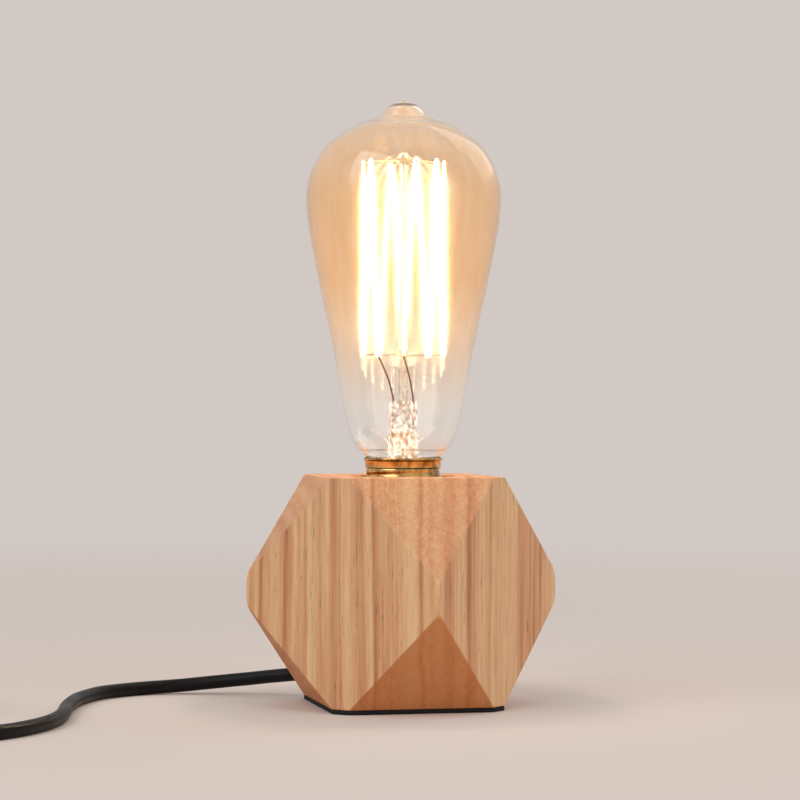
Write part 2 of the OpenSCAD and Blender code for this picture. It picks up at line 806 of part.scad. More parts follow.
module lead_wires() {
    color("silver") bulb_frame() for (side = [0, 1]) let (
        y = side == 0 ? lead_x : -lead_x, a = -side * cage_step, r = cage_low_d / 2
    ) tube([
        [0, y, pinch_low - 4], [0, y, pinch_low], [0, y, stem_top], [0.4, y, stem_top + 2],
        [2.4, 0.9 * y + 0.1 * r * sin(a), stem_top + 5.5],
        polar(0.35 * r, a / 2, 0) + [0.2 * r, y / 2, stem_top + 10.5],
        polar(0.9 * r, a, cage_low - 1.6), polar(r, a, cage_low + wire_d / 2)
    ], wire_d / 2, 6, [0, 1, 0]);
}

module cap_wires() {
    color("peru") bulb_frame() {
        tube([
            [0, -lead_x, pinch_low - 4.1], [0, -lead_x, -2], [0, -2.9, -9], [0, -1.9, -16],
            [0, -0.4, -19.6], [0, 0, -21.4], [0, 0, contact_low + 0.9]
        ], bare_d / 4, 6, [0, 1, 0]);
        tube([
            [0, lead_x, pinch_low - 4.1], [0, lead_x + 0.1, -3], [0, 4.4, -8], [0, 6.2, -12.2],
            [0, 8.1, -15.8], [0, neck_r - 1.3, -17.7], [0, neck_r, -18.3]
        ], bare_d / 4, 6, [0, 1, 0]);
    }
}

// Inline switch ----------------------------------------------------------------------------

module switch_frame() {
    translate(switch_place) children();
}

module switch_outline(inset) {
    // Two long arcs for the sides and straight ends
    intersection() {
        square([switch_l - 2 * inset, switch_w], center = true);
        translate([0, switch_arc - switch_w / 2]) circle(r = switch_arc - inset, $fn = 180);
        translate([0, switch_w / 2 - switch_arc]) circle(r = switch_arc - inset, $fn = 180);
    }
}

module crown(inset) {
    // The upper shell's top is part of a long cylinder
    translate([-switch_l / 2, 0, switch_h - crown_r])
        rotate([0, 90, 0]) cylinder(r = crown_r - inset, h = switch_l, $fn = 180);
}

module switch_inlets() {
    for (side = [0, 180]) rotate([0, 0, side])
        translate([sheath_in, 0, switch_z])
            rotate([0, 90, 0]) cylinder(d = cord_d + 2 * slip, h = switch_l);
}

module at_posts() {
    for (x = [-post_x, post_x]) translate([x, post_y, 0]) children();
}

module switch_lower() {
    color([0.09, 0.09, 0.09]) switch_frame() difference() {
        union() {
            difference() {
                linear_extrude(switch_z) switch_outline(0);
                translate([0, 0, switch_wall]) linear_extrude(switch_z) switch_outline(switch_wall);
            }
            at_posts() cylinder(r = post_r, h = switch_z);
        }
        switch_inlets();
        at_posts() translate([0, 0, -1]) {
            cylinder(r = case_head_r + slip, h = 1 + case_head_low + case_head_h + slip);
            cylinder(r = case_screw_r + slip, h = switch_h);
        }
    }
}

module switch_upper() {
    opening = [rocker_l + 2 * rocker_gap, rocker_w + 2 * rocker_gap];
    color([0.09, 0.09, 0.09]) switch_frame() difference() {
        union() {
            intersection() {
                difference() {
                    translate([0, 0, switch_z]) linear_extrude(switch_h - switch_z) switch_outline(0);
                    intersection() {
                        translate([0, 0, switch_z - 1])
                            linear_extrude(switch_h) switch_outline(switch_wall);
                        crown(switch_wall);
                    }
                }
                crown(0);
            }
            at_posts() translate([0, 0, switch_z])
                cylinder(r = post_r, h = switch_h - switch_z - switch_wall - 1);
            for (side = [-1, 1]) translate([
                -pivot_r - ear_edge, side * (ear_y + ear_t / 2) - ear_t / 2, pivot_z - pivot_r - 0.9
            ]) cube([2 * (pivot_r + ear_edge), ear_t, 2 * pivot_r + 0.9]);
        }
        switch_inlets();
        translate([-opening.x / 2, -opening.y / 2, pivot_z]) cube([opening.x, opening.y, switch_h]);
        translate([0, 0, pivot_z]) across(pivot_r + pivot_gap, ear_y + ear_t);
        at_posts() cylinder(r = case_screw_r + slip / 2, h = case_screw_top + 0.5);
    }
}

// The rocker is drawn pressed down on its -X side, which is on
module rocker_frame() {
    switch_frame() translate([0, 0, pivot_z]) rotate([0, -rocker_tilt, 0]) children();
}

module across(r, y) {
    translate([0, -y, 0]) rotate([-90, 0, 0]) cylinder(r = r, h = 2 * y);
}

module switch_rocker() {
    half_l = rocker_l / 2;
    cheek_r = pivot_r + 0.4;
    cheek_t = 1.2;
    color([0.12, 0.12, 0.12]) rocker_frame() difference() {
        union() {
            intersection() {
                translate([0, rocker_w / 2, 0]) rotate([90, 0, 0]) linear_extrude(rocker_w)
                    polygon([
                        [-half_l, rocker_low], [half_l, rocker_low], [half_l, rocker_high],
                        [0, rocker_dip], [-half_l, rocker_high]
                    ]);
                across(half_l, rocker_w);
            }
            translate([0, 0, -stem_low]) cylinder(r = stem_w, h = stem_low + rocker_low + 0.5);
            for (side = [-1, 1])
                translate([-cheek_r, side * (rocker_w - cheek_t) / 2 - cheek_t / 2, -cheek_r])
                    cube([2 * cheek_r, cheek_t, cheek_r + rocker_low + 0.4]);
            difference() {
                across(pivot_r, ear_y + ear_t - ear_cap);
                across(2 * pivot_r, rocker_w / 2 - 1);
            }
        }
        translate([0, 0, -stem_low - 1]) cylinder(r = plunger_r + slip, h = stem_low + 1 + bore_top);
    }
}

module rocker_plunger() {
    color("whitesmoke") rocker_frame() {
        translate([0, 0, -plunger_reach]) cylinder(r = plunger_r, h = plunger_reach + plunger_top);
        translate([0, 0, -plunger_reach]) sphere(r = plunger_r);
    }
}

module plunger_spring() {
    low = plunger_top + slip + spring_wire / 2;
    span = bore_top - slip - spring_wire / 2 - low;
    steps = 8 * spring_turns;
    color("silver") rocker_frame() tube([
        for (i = [0 : steps])
            polar(plunger_r - spring_wire, 360 * i * spring_turns / steps, low + span * i / steps)
    ], spring_wire / 2, 6);
}

module switch_seesaw() {
    // A bent strip, with a bead on its underside that it rocks on
    color("goldenrod") switch_frame() translate([0, 0, seesaw_z]) {
        translate([0, plate_w / 2, 0]) rotate([90, seesaw_tilt, 0]) linear_extrude(plate_w) polygon([
            [-plate_l / 2, plate_rise - plate_t / 2], [0, -plate_t / 2],
            [plate_l / 2, plate_rise - plate_t / 2], [plate_l / 2, plate_rise + plate_t / 2],
            [0, plate_t / 2], [-plate_l / 2, plate_rise + plate_t / 2]
        ]);
        across(plate_bend_r, plate_w / 2);
    }
}

module strip(x0, x1, z0, z1) {
    translate([x0, -plate_w / 2, z0]) cube([x1 - x0, plate_w, z1 - z0]);
}

module switch_contacts() {
    strip_top = switch_wall + plate_t;
    touch_x = plate_l / 2 - 0.9;
    end_z = seesaw_z + (plate_rise - plate_t / 2) * cos(seesaw_tilt) - plate_l / 2 * sin(seesaw_tilt);
    color("goldenrod") switch_frame() {
        strip(-block_x - block_l / 2, plate_t, switch_wall, strip_top);
        strip(-plate_t, plate_t, switch_wall, seesaw_z - plate_bend_r - touch_gap);
        strip(touch_x - plate_t, block_x + block_l / 2, switch_wall, strip_top);
        strip(touch_x - plate_t, touch_x + plate_t, switch_wall, end_z - touch_gap);
    }
}

module switch_terminals() {
    color("goldenrod") switch_frame() for (side = [0, 180]) rotate([0, 0, side])
        translate([block_x, 0, switch_wall + plate_t]) difference() {
            translate([-block_l / 2, -plate_w / 2, 0]) cube([block_l, plate_w, block_tall]);
            translate([-block_l / 2 + 1, 0, wire_up]) rotate([0, 90, 0])
                cylinder(r = block_bore, h = block_l);
            translate([0, 0, wire_up]) cylinder(r = case_screw_r + slip, h = block_tall);
        }
}

module switch_screws() {
    head_low = case_head_low + case_head_h;
    color("silver") switch_frame() {
        at_posts() {
            translate([0, 0, case_head_low]) cylinder(r = case_head_r, h = case_head_h);
            translate([0, 0, head_low]) cylinder(r = case_screw_r, h = case_screw_top - head_low);
        }
        for (side = [-1, 1]) translate([side * block_x, 0, switch_wall + plate_t]) {
            translate([0, 0, wire_up + bare_d / 2])
                cylinder(r = case_screw_r, h = block_tall - wire_up);
            translate([0, 0, block_tall]) cylinder(r = case_head_r, h = case_head_h);
        }
    }
}

module switch_wires() {
    wire_z = switch_wall + plate_t + wire_up;
    neutral = [
        [-sheath_in, -1.2, switch_z], [-sheath_in + 2, -1.6, switch_z - 0.4],
        [-18.5, -5, 6.6], [-14, -6.4, 5.4], [-8, -6.6, 5], [8, -6.6, 5], [14, -6.4, 5.4],
        [18.5, -5, 6.6], [sheath_in - 2, -1.6, switch_z - 0.4], [sheath_in, -1.2, switch_z]
    ];
    live = [
        [sheath_in, 1.2, switch_z], [sheath_in - 1.6, 1, switch_z - 0.6],
        [sheath_in - 3.2, 0.4, wire_z + 1], [sheath_in - 5, 0, wire_z],
        [block_x + block_l / 2 + slip, 0, wire_z]
    ];
    color([0.06, 0.06, 0.06]) switch_frame() for (side = [0, 180]) rotate([0, 0, side])
        translate([sheath_in, 0, switch_z]) rotate([0, 90, 0])
            cylinder(d = cord_d, h = switch_l / 2 - sheath_in);
    color("steelblue") switch_frame() tube(neutral, wire_r, 6);
    color("saddlebrown") switch_frame() for (side = [0, 180]) rotate([0, 0, side]) {
        tube([for (p = live) [p.x, side == 0 ? p.y : -p.y, p.z]], wire_r, 6);
        translate([block_x - block_l / 2 + 1.5, 0, wire_z]) rotate([0, 90, 0])
            cylinder(d = bare_d, h = block_l - 1.5 + slip);
    }
}

// Mains plug -------------------------------------------------------------------------------

module plug_frame() {
    translate(plug_place) translate([0, 0, plug_t / 2]) rotate([-90, 0, 0]) children();
}

module pill(width, thick, round_r, z, h) {
    translate([0, 0, z]) linear_extrude(h) {
        square([width - 2 * round_r, thick], center = true);
        square([width, thick - 2 * round_r], center = true);
        for (x = [-1, 1]) for (y = [-1, 1])
            translate([x * (width / 2 - round_r), y * (thick / 2 - round_r)])
                circle(r = round_r, $fn = 32);
    }
}

module plug_body() {
    face_z = relief_l + plug_l;
    color([0.08, 0.08, 0.08]) plug_frame() difference() {
        hull() {
            pill(plug_neck_w, plug_t - 3, 4, relief_l, 1);
            pill(plug_w - 7, plug_t, 5, relief_l + 9, 1);
            pill(plug_w, plug_t, 5, face_z - 17, 15.6);
            pill(plug_w - 2, plug_t - 2, 4, face_z - 1, 1);
        }
        for (side = [-1, 1]) translate([side * pin_step / 2, 0, face_z - pin_root])
            cylinder(d = pin_d + 2 * snug, h = pin_root + 1);
    }
}

module plug_relief() {
    groove = 1;
    color([0.08, 0.08, 0.08]) plug_frame() difference() {
        cylinder(r1 = relief_low_r, r2 = relief_high_r, h = relief_l);
        for (z = [3 : 3.2 : relief_l - 4]) translate([0, 0, z])
            ring(relief_high_r + 1, cord_d / 2 + 0.5, groove);
    }
}

module plug_pins() {
    tip_l = pin_l - sleeve_l;
    color("gold") plug_frame() for (side = [-1, 1])
        translate([side * pin_step / 2, 0, relief_l + plug_l - pin_root]) {
            cylinder(d = pin_d - 2 * sleeve_t - 2 * snug, h = pin_root + sleeve_l);
            translate([0, 0, pin_root + sleeve_l]) cylinder(d = pin_d, h = tip_l - 1);
            translate([0, 0, pin_root + pin_l - 1]) cylinder(d1 = pin_d, d2 = pin_d - 1.6, h = 1);
        }
}

module pin_sleeves() {
    color([0.1, 0.1, 0.1]) plug_frame() for (side = [-1, 1])
        translate([side * pin_step / 2, 0, relief_l + plug_l - pin_root])
            ring(pin_d / 2, pin_d / 2 - sleeve_t, pin_root + sleeve_l);
}

wood_block();
base_pad();
holder_cup();
holder_insert();
holder_sleeve();
screw_shell();
shell_strap();
centre_contact();
terminals();
terminal_screws();
nipple();
nipple_washer();
nipple_nut();
cord_bush();
clamp_lower();
clamp_upper();
clamp_screws();
cord_tail();
live_core();
neutral_core();
cord_lead();
cord_link();
cord_coil();
cord_end();
switch_lower();
switch_upper();
switch_rocker();
rocker_plunger();
plunger_spring();
switch_seesaw();
switch_contacts();
switch_terminals();
switch_screws();
switch_wires();
plug_body();
plug_relief();
plug_pins();
pin_sleeves();
bulb_glass();
bulb_cap();
cap_insulator();
cap_contact();
basing_cement();
bulb_stem();
exhaust_tube();
centre_rod();
upper_supports();
lower_supports();
filament();
lead_wires();
cap_wires();
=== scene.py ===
"""Looks of the bare bulb table lamp: a block of pale wood with its corners cut back, a lit filament bulb, a
black cord with a rocker switch, and a two-pin plug. Lengths are millimetres, turned to metres by MM."""

import math

import bmesh
import bpy
from mathutils import Matrix, Vector


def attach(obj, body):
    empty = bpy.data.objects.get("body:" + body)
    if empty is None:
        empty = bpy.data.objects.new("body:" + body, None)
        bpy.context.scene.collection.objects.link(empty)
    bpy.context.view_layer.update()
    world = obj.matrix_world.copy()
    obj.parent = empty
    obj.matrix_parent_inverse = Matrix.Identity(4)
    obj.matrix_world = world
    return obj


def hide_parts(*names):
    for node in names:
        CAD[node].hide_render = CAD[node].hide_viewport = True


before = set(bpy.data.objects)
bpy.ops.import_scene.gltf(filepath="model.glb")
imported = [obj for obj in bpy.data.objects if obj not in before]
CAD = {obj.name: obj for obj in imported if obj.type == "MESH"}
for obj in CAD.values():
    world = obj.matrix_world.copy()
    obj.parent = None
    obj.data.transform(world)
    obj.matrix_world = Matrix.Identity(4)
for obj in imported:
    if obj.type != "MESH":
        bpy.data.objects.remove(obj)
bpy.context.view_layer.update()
MM = 0.001

# Camera: level with the middle of the lamp, and turned 32 degrees from the block's front. Its distance,
# height and lens come from the block's corners and the bulb's outline in the photograph. Metres and radians.
CAMERA_TURN = 0.5641
CAMERA_FROM_AXIS = 0.9559
CAMERA_HEIGHT = 0.10204
CAMERA_SIDE = -0.00105
CAMERA_PITCH = 0.0003
CAMERA_ROLL = 0.0024
SENSOR, LENS = 36, 128.8
ahead = Vector((-math.sin(CAMERA_TURN), math.cos(CAMERA_TURN), 0))
to_right = Vector((math.cos(CAMERA_TURN), math.sin(CAMERA_TURN), 0))
lens_way = ahead * math.cos(CAMERA_PITCH) - Vector((0, 0, math.sin(CAMERA_PITCH)))
level_up = to_right.cross(lens_way)
picture_right = to_right * math.cos(CAMERA_ROLL) + level_up * math.sin(CAMERA_ROLL)
picture_up = level_up * math.cos(CAMERA_ROLL) - to_right * math.sin(CAMERA_ROLL)
camera = bpy.data.objects.new("camera", bpy.data.cameras.new("camera"))
camera.data.sensor_width = SENSOR
camera.data.lens = LENS
camera.matrix_world = Matrix.Translation(
    to_right * CAMERA_SIDE - ahead * CAMERA_FROM_AXIS + Vector((0, 0, CAMERA_HEIGHT))
) @ Matrix((picture_right, picture_up, -lens_way)).transposed().to_4x4()
bpy.context.scene.collection.objects.link(camera)
bpy.context.scene.camera = camera


# Cords: two stretches of round black mains lead, extruded soft PVC over two cores. One runs from the block's
# back to the inline switch, the other from the switch through a neat coil of four layers to the plug. Each
# lies on the floor, and is held by a clamp in the block, the switch's shells and the plug's moulding.
CORD_D = 4.6
LIE = CORD_D / 2
COIL_R, COIL_STEP, COIL_TURNS, COIL_LAYERS, COIL_RUN_IN = 30.5, 5.1, 8.75, 4, 5
COIL_MIDDLE = (-136.5, -123)
COIL_KNOTS, ROUTE_STEPS, CORD_SIDES = 48, 6, 6
LEAD_ROUTE = [
    (-39, 0, 8), (-40, 0, 8), (-44, 0, 7.8), (-53, -1, 6.7), (-61, -2, 5.6), (-69, -5, 4.6),
    (-77, -9, 3.6), (-84, -14, 2.8), (-90, -21, 2.4), (-93, -30, LIE), (-94, -42, LIE),
    (-91, -54, LIE), (-86, -66, LIE), (-79, -78, LIE), (-71, -90, LIE), (-63, -101, LIE),
    (-56, -113, LIE), (-51, -125, LIE), (-48, -138, LIE), (-47.5, -149, LIE), (-49.5, -159, 2.5),
    (-56.5, -167, 3.4), (-65, -170, 5.2), (-75, -170, 7.8), (-81, -170, 8.5), (-82, -170, 8.5),
]
LINK_ROUTE = [
    (-142, -170, 8.5), (-143, -170, 8.5), (-147, -170, 8.2), (-155, -168.5, 6.2),
    (-162.5, -163, 3.9), (-166.5, -154, 2.5), (-167, -144, LIE), (-167, -136, LIE),
]
END_ROUTE = [
    (-142.5, -153.5, 17.6), (-147, -153.5, 16.8), (-152, -153.5, 14.8), (-160, -152.5, 12.6),
    (-168, -150, 10.4), (-176, -146, 8.6), (-182, -140, 7.3), (-185.5, -133, 6.85),
    (-186, -126, 6.85), (-186, -120, 6.85),
]


def polar(r, degrees, z):
    """The point at that distance and angle round the upright axis, and at that height."""
    return Vector((r * math.cos(math.radians(degrees)), r * math.sin(math.radians(degrees)), z))


def eased(points, steps):
    """The points with a smooth curve of that many steps drawn between each two."""
    last = len(points) - 1
    out = []
    for i in range(last):
        a, b, c, d = points[max(i - 1, 0)], points[i], points[i + 1], points[min(i + 2, last)]
        for u in (s / steps for s in range(steps)):
            straight = 2 * b + u * (c - a) + u * u * (2 * a - 5 * b + 4 * c - d)
            out.append(0.5 * (straight + u**3 * (3 * b - a - 3 * c + d)))
    return out + [points[last]]


def coil_point(turned):
    """The coil's centreline after that many turns: layers spiral in and out by turns, and each climbs on to
    the last within half a turn."""
    a_layer = COIL_TURNS / COIL_LAYERS
    layer = min(int(turned / a_layer), COIL_LAYERS - 1)
    gone = turned - layer * a_layer
    radius = COIL_R - COIL_STEP * (gone if layer % 2 == 0 else a_layer - gone)
    climb = sum(
        max(0, min(1, 2 * (turned - i * a_layer) + 0.5)) for i in range(1, COIL_LAYERS)
    )
    return Vector((*COIL_MIDDLE, LIE + COIL_STEP * climb)) + polar(radius, 180 - 360 * turned, 0)


def round_wire(name, lines, radius, sides=4):
    """Curves for round wires, one for each line of points."""
    data = bpy.data.curves.new(name, "CURVE")
    data.dimensions = "3D"
    data.bevel_depth = 1.0
    data.bevel_resolution = sides
    data.use_fill_caps = True
    for points in lines:
        line = data.splines.new("POLY")
        line.points.add(len(points) - 1)
        for knot, p in zip(line.points, points):
            knot.co = (*(Vector(p) * MM), 1)
            knot.radius = radius * MM
        line.use_smooth = True
    return data


def add_piece(name, data, body, look, replaced=(), at=(0, 0, 0)):
    """Link a piece, set it down, and let it ride on its body in the finish that it is given."""
    piece = bpy.data.objects.new(name, data)
    piece.location = Vector(at) * MM
    bpy.context.scene.collection.objects.link(piece)
    bpy.context.view_layer.update()
    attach(piece, body)
    if replaced:
        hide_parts(*replaced)
    data.materials.clear()
    data.materials.append(look)
    return piece


def colour(code):
    """An sRGB colour such as "d5ccc7" as linear red, green, blue and alpha."""
    parts = [int(code[i : i + 2], 16) / 255 for i in (0, 2, 4)]
    return (*[c / 12.92 if c <= 0.04045 else ((c + 0.055) / 1.055) ** 2.4 for c in parts], 1)


def node(tree, kind, inputs, out=0, stops=(), **settings):
    """Add a shader node. Its inputs are values or the outputs of other nodes. Returns one output."""
    added = tree.nodes.new("ShaderNode" + kind)
    for key, value in settings.items():
        setattr(added, key, value)
    for key, value in inputs.items():
        if isinstance(value, bpy.types.NodeSocket):
            tree.links.new(value, added.inputs[key])
        else:
            added.inputs[key].default_value = value
    for i, (position, code) in enumerate(stops):
        elements = added.color_ramp.elements
        stop = elements[i] if i < 2 else elements.new(position)
        stop.position, stop.color = position, colour(code)
    return added.outputs[out] if len(added.outputs) else None


def new_look(name):
    """An empty material and its node tree."""
    look = bpy.data.materials.new(name)
    look.use_nodes = True
    look.node_tree.nodes.clear()
    return look, look.node_tree


def at_real_size(tree, stretch=(1, 1, 1)):
    """Places on the piece in millimetres, with a pattern drawn out along an axis by its stretch."""
    place = node(tree, "TexCoord", {}, "Object")
    return node(tree, "Mapping", {"Vector": place, "Scale": [1 / (MM * s) for s in stretch]})


def specks(tree, size, stretch=(1, 1, 1), detail=2.0, rough=0.5):
    """Random specks about that many millimetres wide, as a share from 0 to 1."""
    place = at_real_size(tree, stretch)
    shape = {"Vector": place, "Scale": 1 / size, "Detail": detail, "Roughness": rough}
    return node(tree, "TexNoise", shape, "Fac")


def reach(low, high, to_low=0.0, to_high=1.0):
    """The limits between which a map range node spreads its value, and those that it spreads it to."""
    return {"From Min": low, "From Max": high, "To Min": to_low, "To Max": to_high}


COLOUR = {"out": 2, "data_type": "RGBA"}


def moulded(name, code, worn, rough, grain, depth, gloss=0.5):
    """Moulded or extruded plastic and rubber: one colour with faint flow marks and a fine grain that
    breaks up its shine. The worn colour shows where hands and tools have polished it. The grain is given
    in millimetres and drawn coarser than a real one, so that it shows."""
    look, tree = new_look(name)
    flow = specks(tree, 14 * grain, detail=3)
    fine = specks(tree, grain, detail=2)
    polish = node(tree, "MapRange", {"Value": flow, **reach(0.35, 0.72)})
    base = node(tree, "Mix", {0: polish, 6: colour(code), 7: colour(worn)}, **COLOUR)
    dull = node(tree, "MapRange", {"Value": flow, **reach(0.3, 0.7, rough - 0.06, rough + 0.06)})
    grit = node(tree, "MapRange", {"Value": fine, **reach(0.3, 0.7, -0.04, 0.04)})
    shine = node(tree, "Math", {0: dull, 1: grit}, operation="ADD")
    bump = node(tree, "Bump", {"Height": fine, "Strength": 0.35, "Distance": depth * MM})
    shader = {"Base Color": base, "Roughness": shine, "Normal": bump, "Specular IOR Level": gloss}
    node(tree, "OutputMaterial", {"Surface": node(tree, "BsdfPrincipled", shader)})
    return look


# Soft PVC as it leaves the die: deep black with a low satin shine.
CORD_PVC = moulded("black_pvc", "080808", "101011", 0.44, 0.9, 0.02, 0.2)
coil_line = [coil_point(i / COIL_KNOTS) for i in range(int(COIL_TURNS * COIL_KNOTS) + 1)]
run_in = coil_line[0] - Vector((0, COIL_RUN_IN, 0))
run_out = coil_line[-1] - Vector((COIL_RUN_IN, 0, 0))
lead_line = eased([Vector(p) for p in LEAD_ROUTE], ROUTE_STEPS)
supply_line = eased([Vector(p) for p in LINK_ROUTE] + [run_in], ROUTE_STEPS) + coil_line
supply_line += eased([run_out] + [Vector(p) for p in END_ROUTE], ROUTE_STEPS)
lead = add_piece(
    "cord_to_switch", round_wire("cord_to_switch", [lead_line], LIE, CORD_SIDES), "base",
    CORD_PVC, ["cord_lead"],
)
supply = add_piece(
    "cord_to_plug", round_wire("cord_to_plug", [supply_line], LIE, CORD_SIDES), "base",
    CORD_PVC, ["cord_link", "cord_coil", "cord_end"],
)


# Stage: a plain pale floor that fades into a backdrop of the same tone between two distances from the lamp,
# and soft studio light from three square lamps and from all round. The floor's disc is in metres.
BACKDROP, FLOOR_PAINT = "d2c9c4", "d9cfc9"
FLOOR_R, FLOOR_FADE = 30, (260, 1100)
ROOM_WHITE, ROOM_LIGHT = "f4f0ec", 0.66
LOOKED_AT = Vector((0, 0, 0.08))


def either_ray(tree, first, second):
    """1 for a ray of either kind, such as "Is Camera Ray", and 0 for every other ray."""
    kinds = {0: node(tree, "LightPath", {}, first), 1: node(tree, "LightPath", {}, second)}
    return node(tree, "Math", kinds, operation="MAXIMUM")


floor_mesh = bpy.data.meshes.new("floor")
disc = bmesh.new()
bmesh.ops.create_circle(disc, cap_ends=True, segments=64, radius=FLOOR_R)
disc.to_mesh(floor_mesh)
disc.free()
floor = bpy.data.objects.new("floor", floor_mesh)
bpy.context.scene.collection.objects.link(floor)
floor_look, tree = new_look("floor_paint")
away = node(tree, "VectorMath", {0: at_real_size(tree)}, "Value", operation="LENGTH")
direct = either_ray(tree, "Is Camera Ray", "Is Transmission Ray")
mirrored = node(tree, "LightPath", {}, "Is Glossy Ray")
seen = node(tree, "Math", {0: direct, 1: mirrored}, operation="MAXIMUM")
paint = node(tree, "BsdfPrincipled", {
    "Base Color": colour(FLOOR_PAINT), "Roughness": 0.9, "Specular IOR Level": 0.1,
})
plain = node(tree, "Emission", {"Color": colour(BACKDROP), "Strength": 1.0})
far = node(tree, "MapRange", {"Value": away, **reach(*FLOOR_FADE)})
faded = node(tree, "Math", {0: seen, 1: far}, operation="MULTIPLY")
node(tree, "OutputMaterial", {"Surface": node(tree, "MixShader", {0: faded, 1: paint, 2: plain})})
floor_mesh.materials.append(floor_look)

world = bpy.data.worlds.new("world")
bpy.context.scene.world = world
world.use_nodes = True
tree = world.node_tree
tree.nodes.clear()
shown = node(tree, "Background", {"Color": colour(BACKDROP), "Strength": 1.0})
lighting = node(tree, "Background", {"Color": colour(ROOM_WHITE), "Strength": ROOM_LIGHT})
direct = either_ray(tree, "Is Camera Ray", "Is Transmission Ray")
node(tree, "OutputWorld", {"Surface": node(tree, "MixShader", {0: direct, 1: lighting, 2: shown})})


def soft_light(name, place, size, watts):
    """A square studio lamp that looks at the lamp's middle. Its place and its width are in metres."""
    lamp_data = bpy.data.lights.new(name, "AREA")
    lamp_data.size, lamp_data.energy = size, watts
    lamp = bpy.data.objects.new(name, lamp_data)
    lamp.location = place
    lamp.rotation_mode = "QUATERNION"
    lamp.rotation_quaternion = (LOOKED_AT - Vector(place)).to_track_quat("-Z", "Y")
    bpy.context.scene.collection.objects.link(lamp)
    return lamp


soft_light("key_light", (-0.4, -1.4, 1.2), 1.4, 11)
# These two don't show in the glass, where they would leave a hard white patch.
soft_light("side_light", (1.5, -0.3, 0.9), 1.2, 6.2).visible_glossy = False
soft_light("back_light", (0.3, 1.4, 1.1), 1.2, 5).visible_glossy = False
bpy.context.scene.view_settings.view_transform = "Standard"


# Wooden block: one piece of oiled ash, sawn to a cube, its eight corners cut back so that 24 points are
# left, sanded at its edges, and bored for the lampholder from above, for the wiring from below and for the
# cord.
PAD_T, BLOCK = 1.5, 75.0
FACE_EDGE, CORNER_EDGE = 6.7, 9.8
BLOCK_TOP = PAD_T + BLOCK
WELL_R, WELL_LOW = 17.75, 26.0
SPACE_R, SPACE_TOP = 20.0, 19.0
BORE_R, BORE_LOW, BORE_TOP = 5.25, 15, 30
CORD_HOLE_R, CORD_Z = 4.0, 8.0
SANDED, CORNER_SANDED, RIM_SANDED = 0.6, 3.2, 0.45
OVERSHOOT = 5


def cut_back_cube():
    """The cube with its corners cut back and its edges sanded round, the ends of its upright edges most of
    all. Sanded faces take the second look: paler, as sanded wood is, and with a painted highlight along the
    edges."""
    half, face_edge, corner_edge = BLOCK / 2, FACE_EDGE / 2, CORNER_EDGE / 2
    points = ((half, half, corner_edge), (half, face_edge, half), (face_edge, half, half))
    made = bmesh.new()
    for sx in (-1, 1):
        for sy in (-1, 1):
            for sz in (-1, 1):
                for x, y, z in points:
                    made.verts.new(Vector((sx * x, sy * y, sz * z + PAD_T + half)) * MM)
    hull = bmesh.ops.convex_hull(made, input=made.verts)
    bmesh.ops.delete(made, geom=hull["geom_interior"] + hull["geom_unused"], context="VERTS")
    bmesh.ops.dissolve_limit(made, angle_limit=0.01, verts=made.verts, edges=made.edges)
    upright = [e for e in made.edges if abs((e.verts[0].co - e.verts[1].co).normalized().z) > 0.99]
    bmesh.ops.bevel(
        made, geom=[v for e in upright for v in e.verts], offset=CORNER_SANDED * MM, segments=2,
        profile=0.5, affect="VERTICES", clamp_overlap=True, material=1,
    )
    bmesh.ops.bevel(
        made, geom=list(made.edges), offset=SANDED * MM, segments=3, profile=0.5,
        affect="EDGES", clamp_overlap=True, material=1,
    )
    return made


def turned(outline, sides=96):
    """A closed solid turned round Z from a closed outline of (radius, height)."""
    made = bmesh.new()
    rings = []
    for r, z in outline:
        if r < 1e-6:
            rings.append([made.verts.new((0, 0, z * MM))])
        else:
            rings.append([made.verts.new(polar(r, 360 * k / sides, z) * MM) for k in range(sides)])
    for low, high in zip(rings, rings[1:] + rings[:1]):
        for k in range(sides):
            ring = [low[k % len(low)], low[(k + 1) % len(low)],
                    high[(k + 1) % len(high)], high[k % len(high)]]
            ring = list(dict.fromkeys(ring))
            if len(ring) > 2:
                made.faces.new(ring)
    bmesh.ops.recalc_face_normals(made, faces=made.faces)
    return made


def stored(name, made, sharp=30):
    """Keep a bmesh as a mesh that is smooth but for edges sharper than that many degrees."""
    made.normal_update()
    for face in made.faces:
        face.smooth = True
    for edge in made.edges:
        edge.smooth = len(edge.link_faces) != 2 or edge.calc_face_angle(0) < math.radians(sharp)
    data = bpy.data.meshes.new(name)
    made.to_mesh(data)
    made.free()
    return data


def bored(name, data, cutters):
    """The mesh less each cutter, by exact booleans."""
    whole = bpy.data.objects.new("whole", data)
    bpy.context.scene.collection.objects.link(whole)
    drills = []
    for made in cutters:
        drill = bpy.data.objects.new("drill", stored("drill", made))
        bpy.context.scene.collection.objects.link(drill)
        cut = whole.modifiers.new("cut", "BOOLEAN")
        cut.object, cut.operation, cut.solver = drill, "DIFFERENCE", "EXACT"
        drills.append(drill)
    bpy.context.view_layer.update()
    drilled = whole.evaluated_get(bpy.context.evaluated_depsgraph_get())
    result = bpy.data.meshes.new_from_object(drilled)
    result.name = name
    for scratch in [*drills, whole]:
        bpy.data.objects.remove(scratch)
    return result


# The block lies far out in its tree, so the rings are nearly flat. They cross both front faces as soft pink-
# brown bands in groups about 9 mm apart, and run down the slanted faces between them. Real ash has finer
# fibres and pores, about 0.2 mm wide. They are drawn 0.6 to 0.75 mm wide, so that they show.
PITH = (-150.0, -138.0, 0.0)
BAND_GROUP, BAND, RING = 9.0, 4.2, 5.2
STREAK, FIBRE, PORE, PORE_ROW, CUT_SPECK = 2.0, 0.75, 0.62, 3.5, 0.7


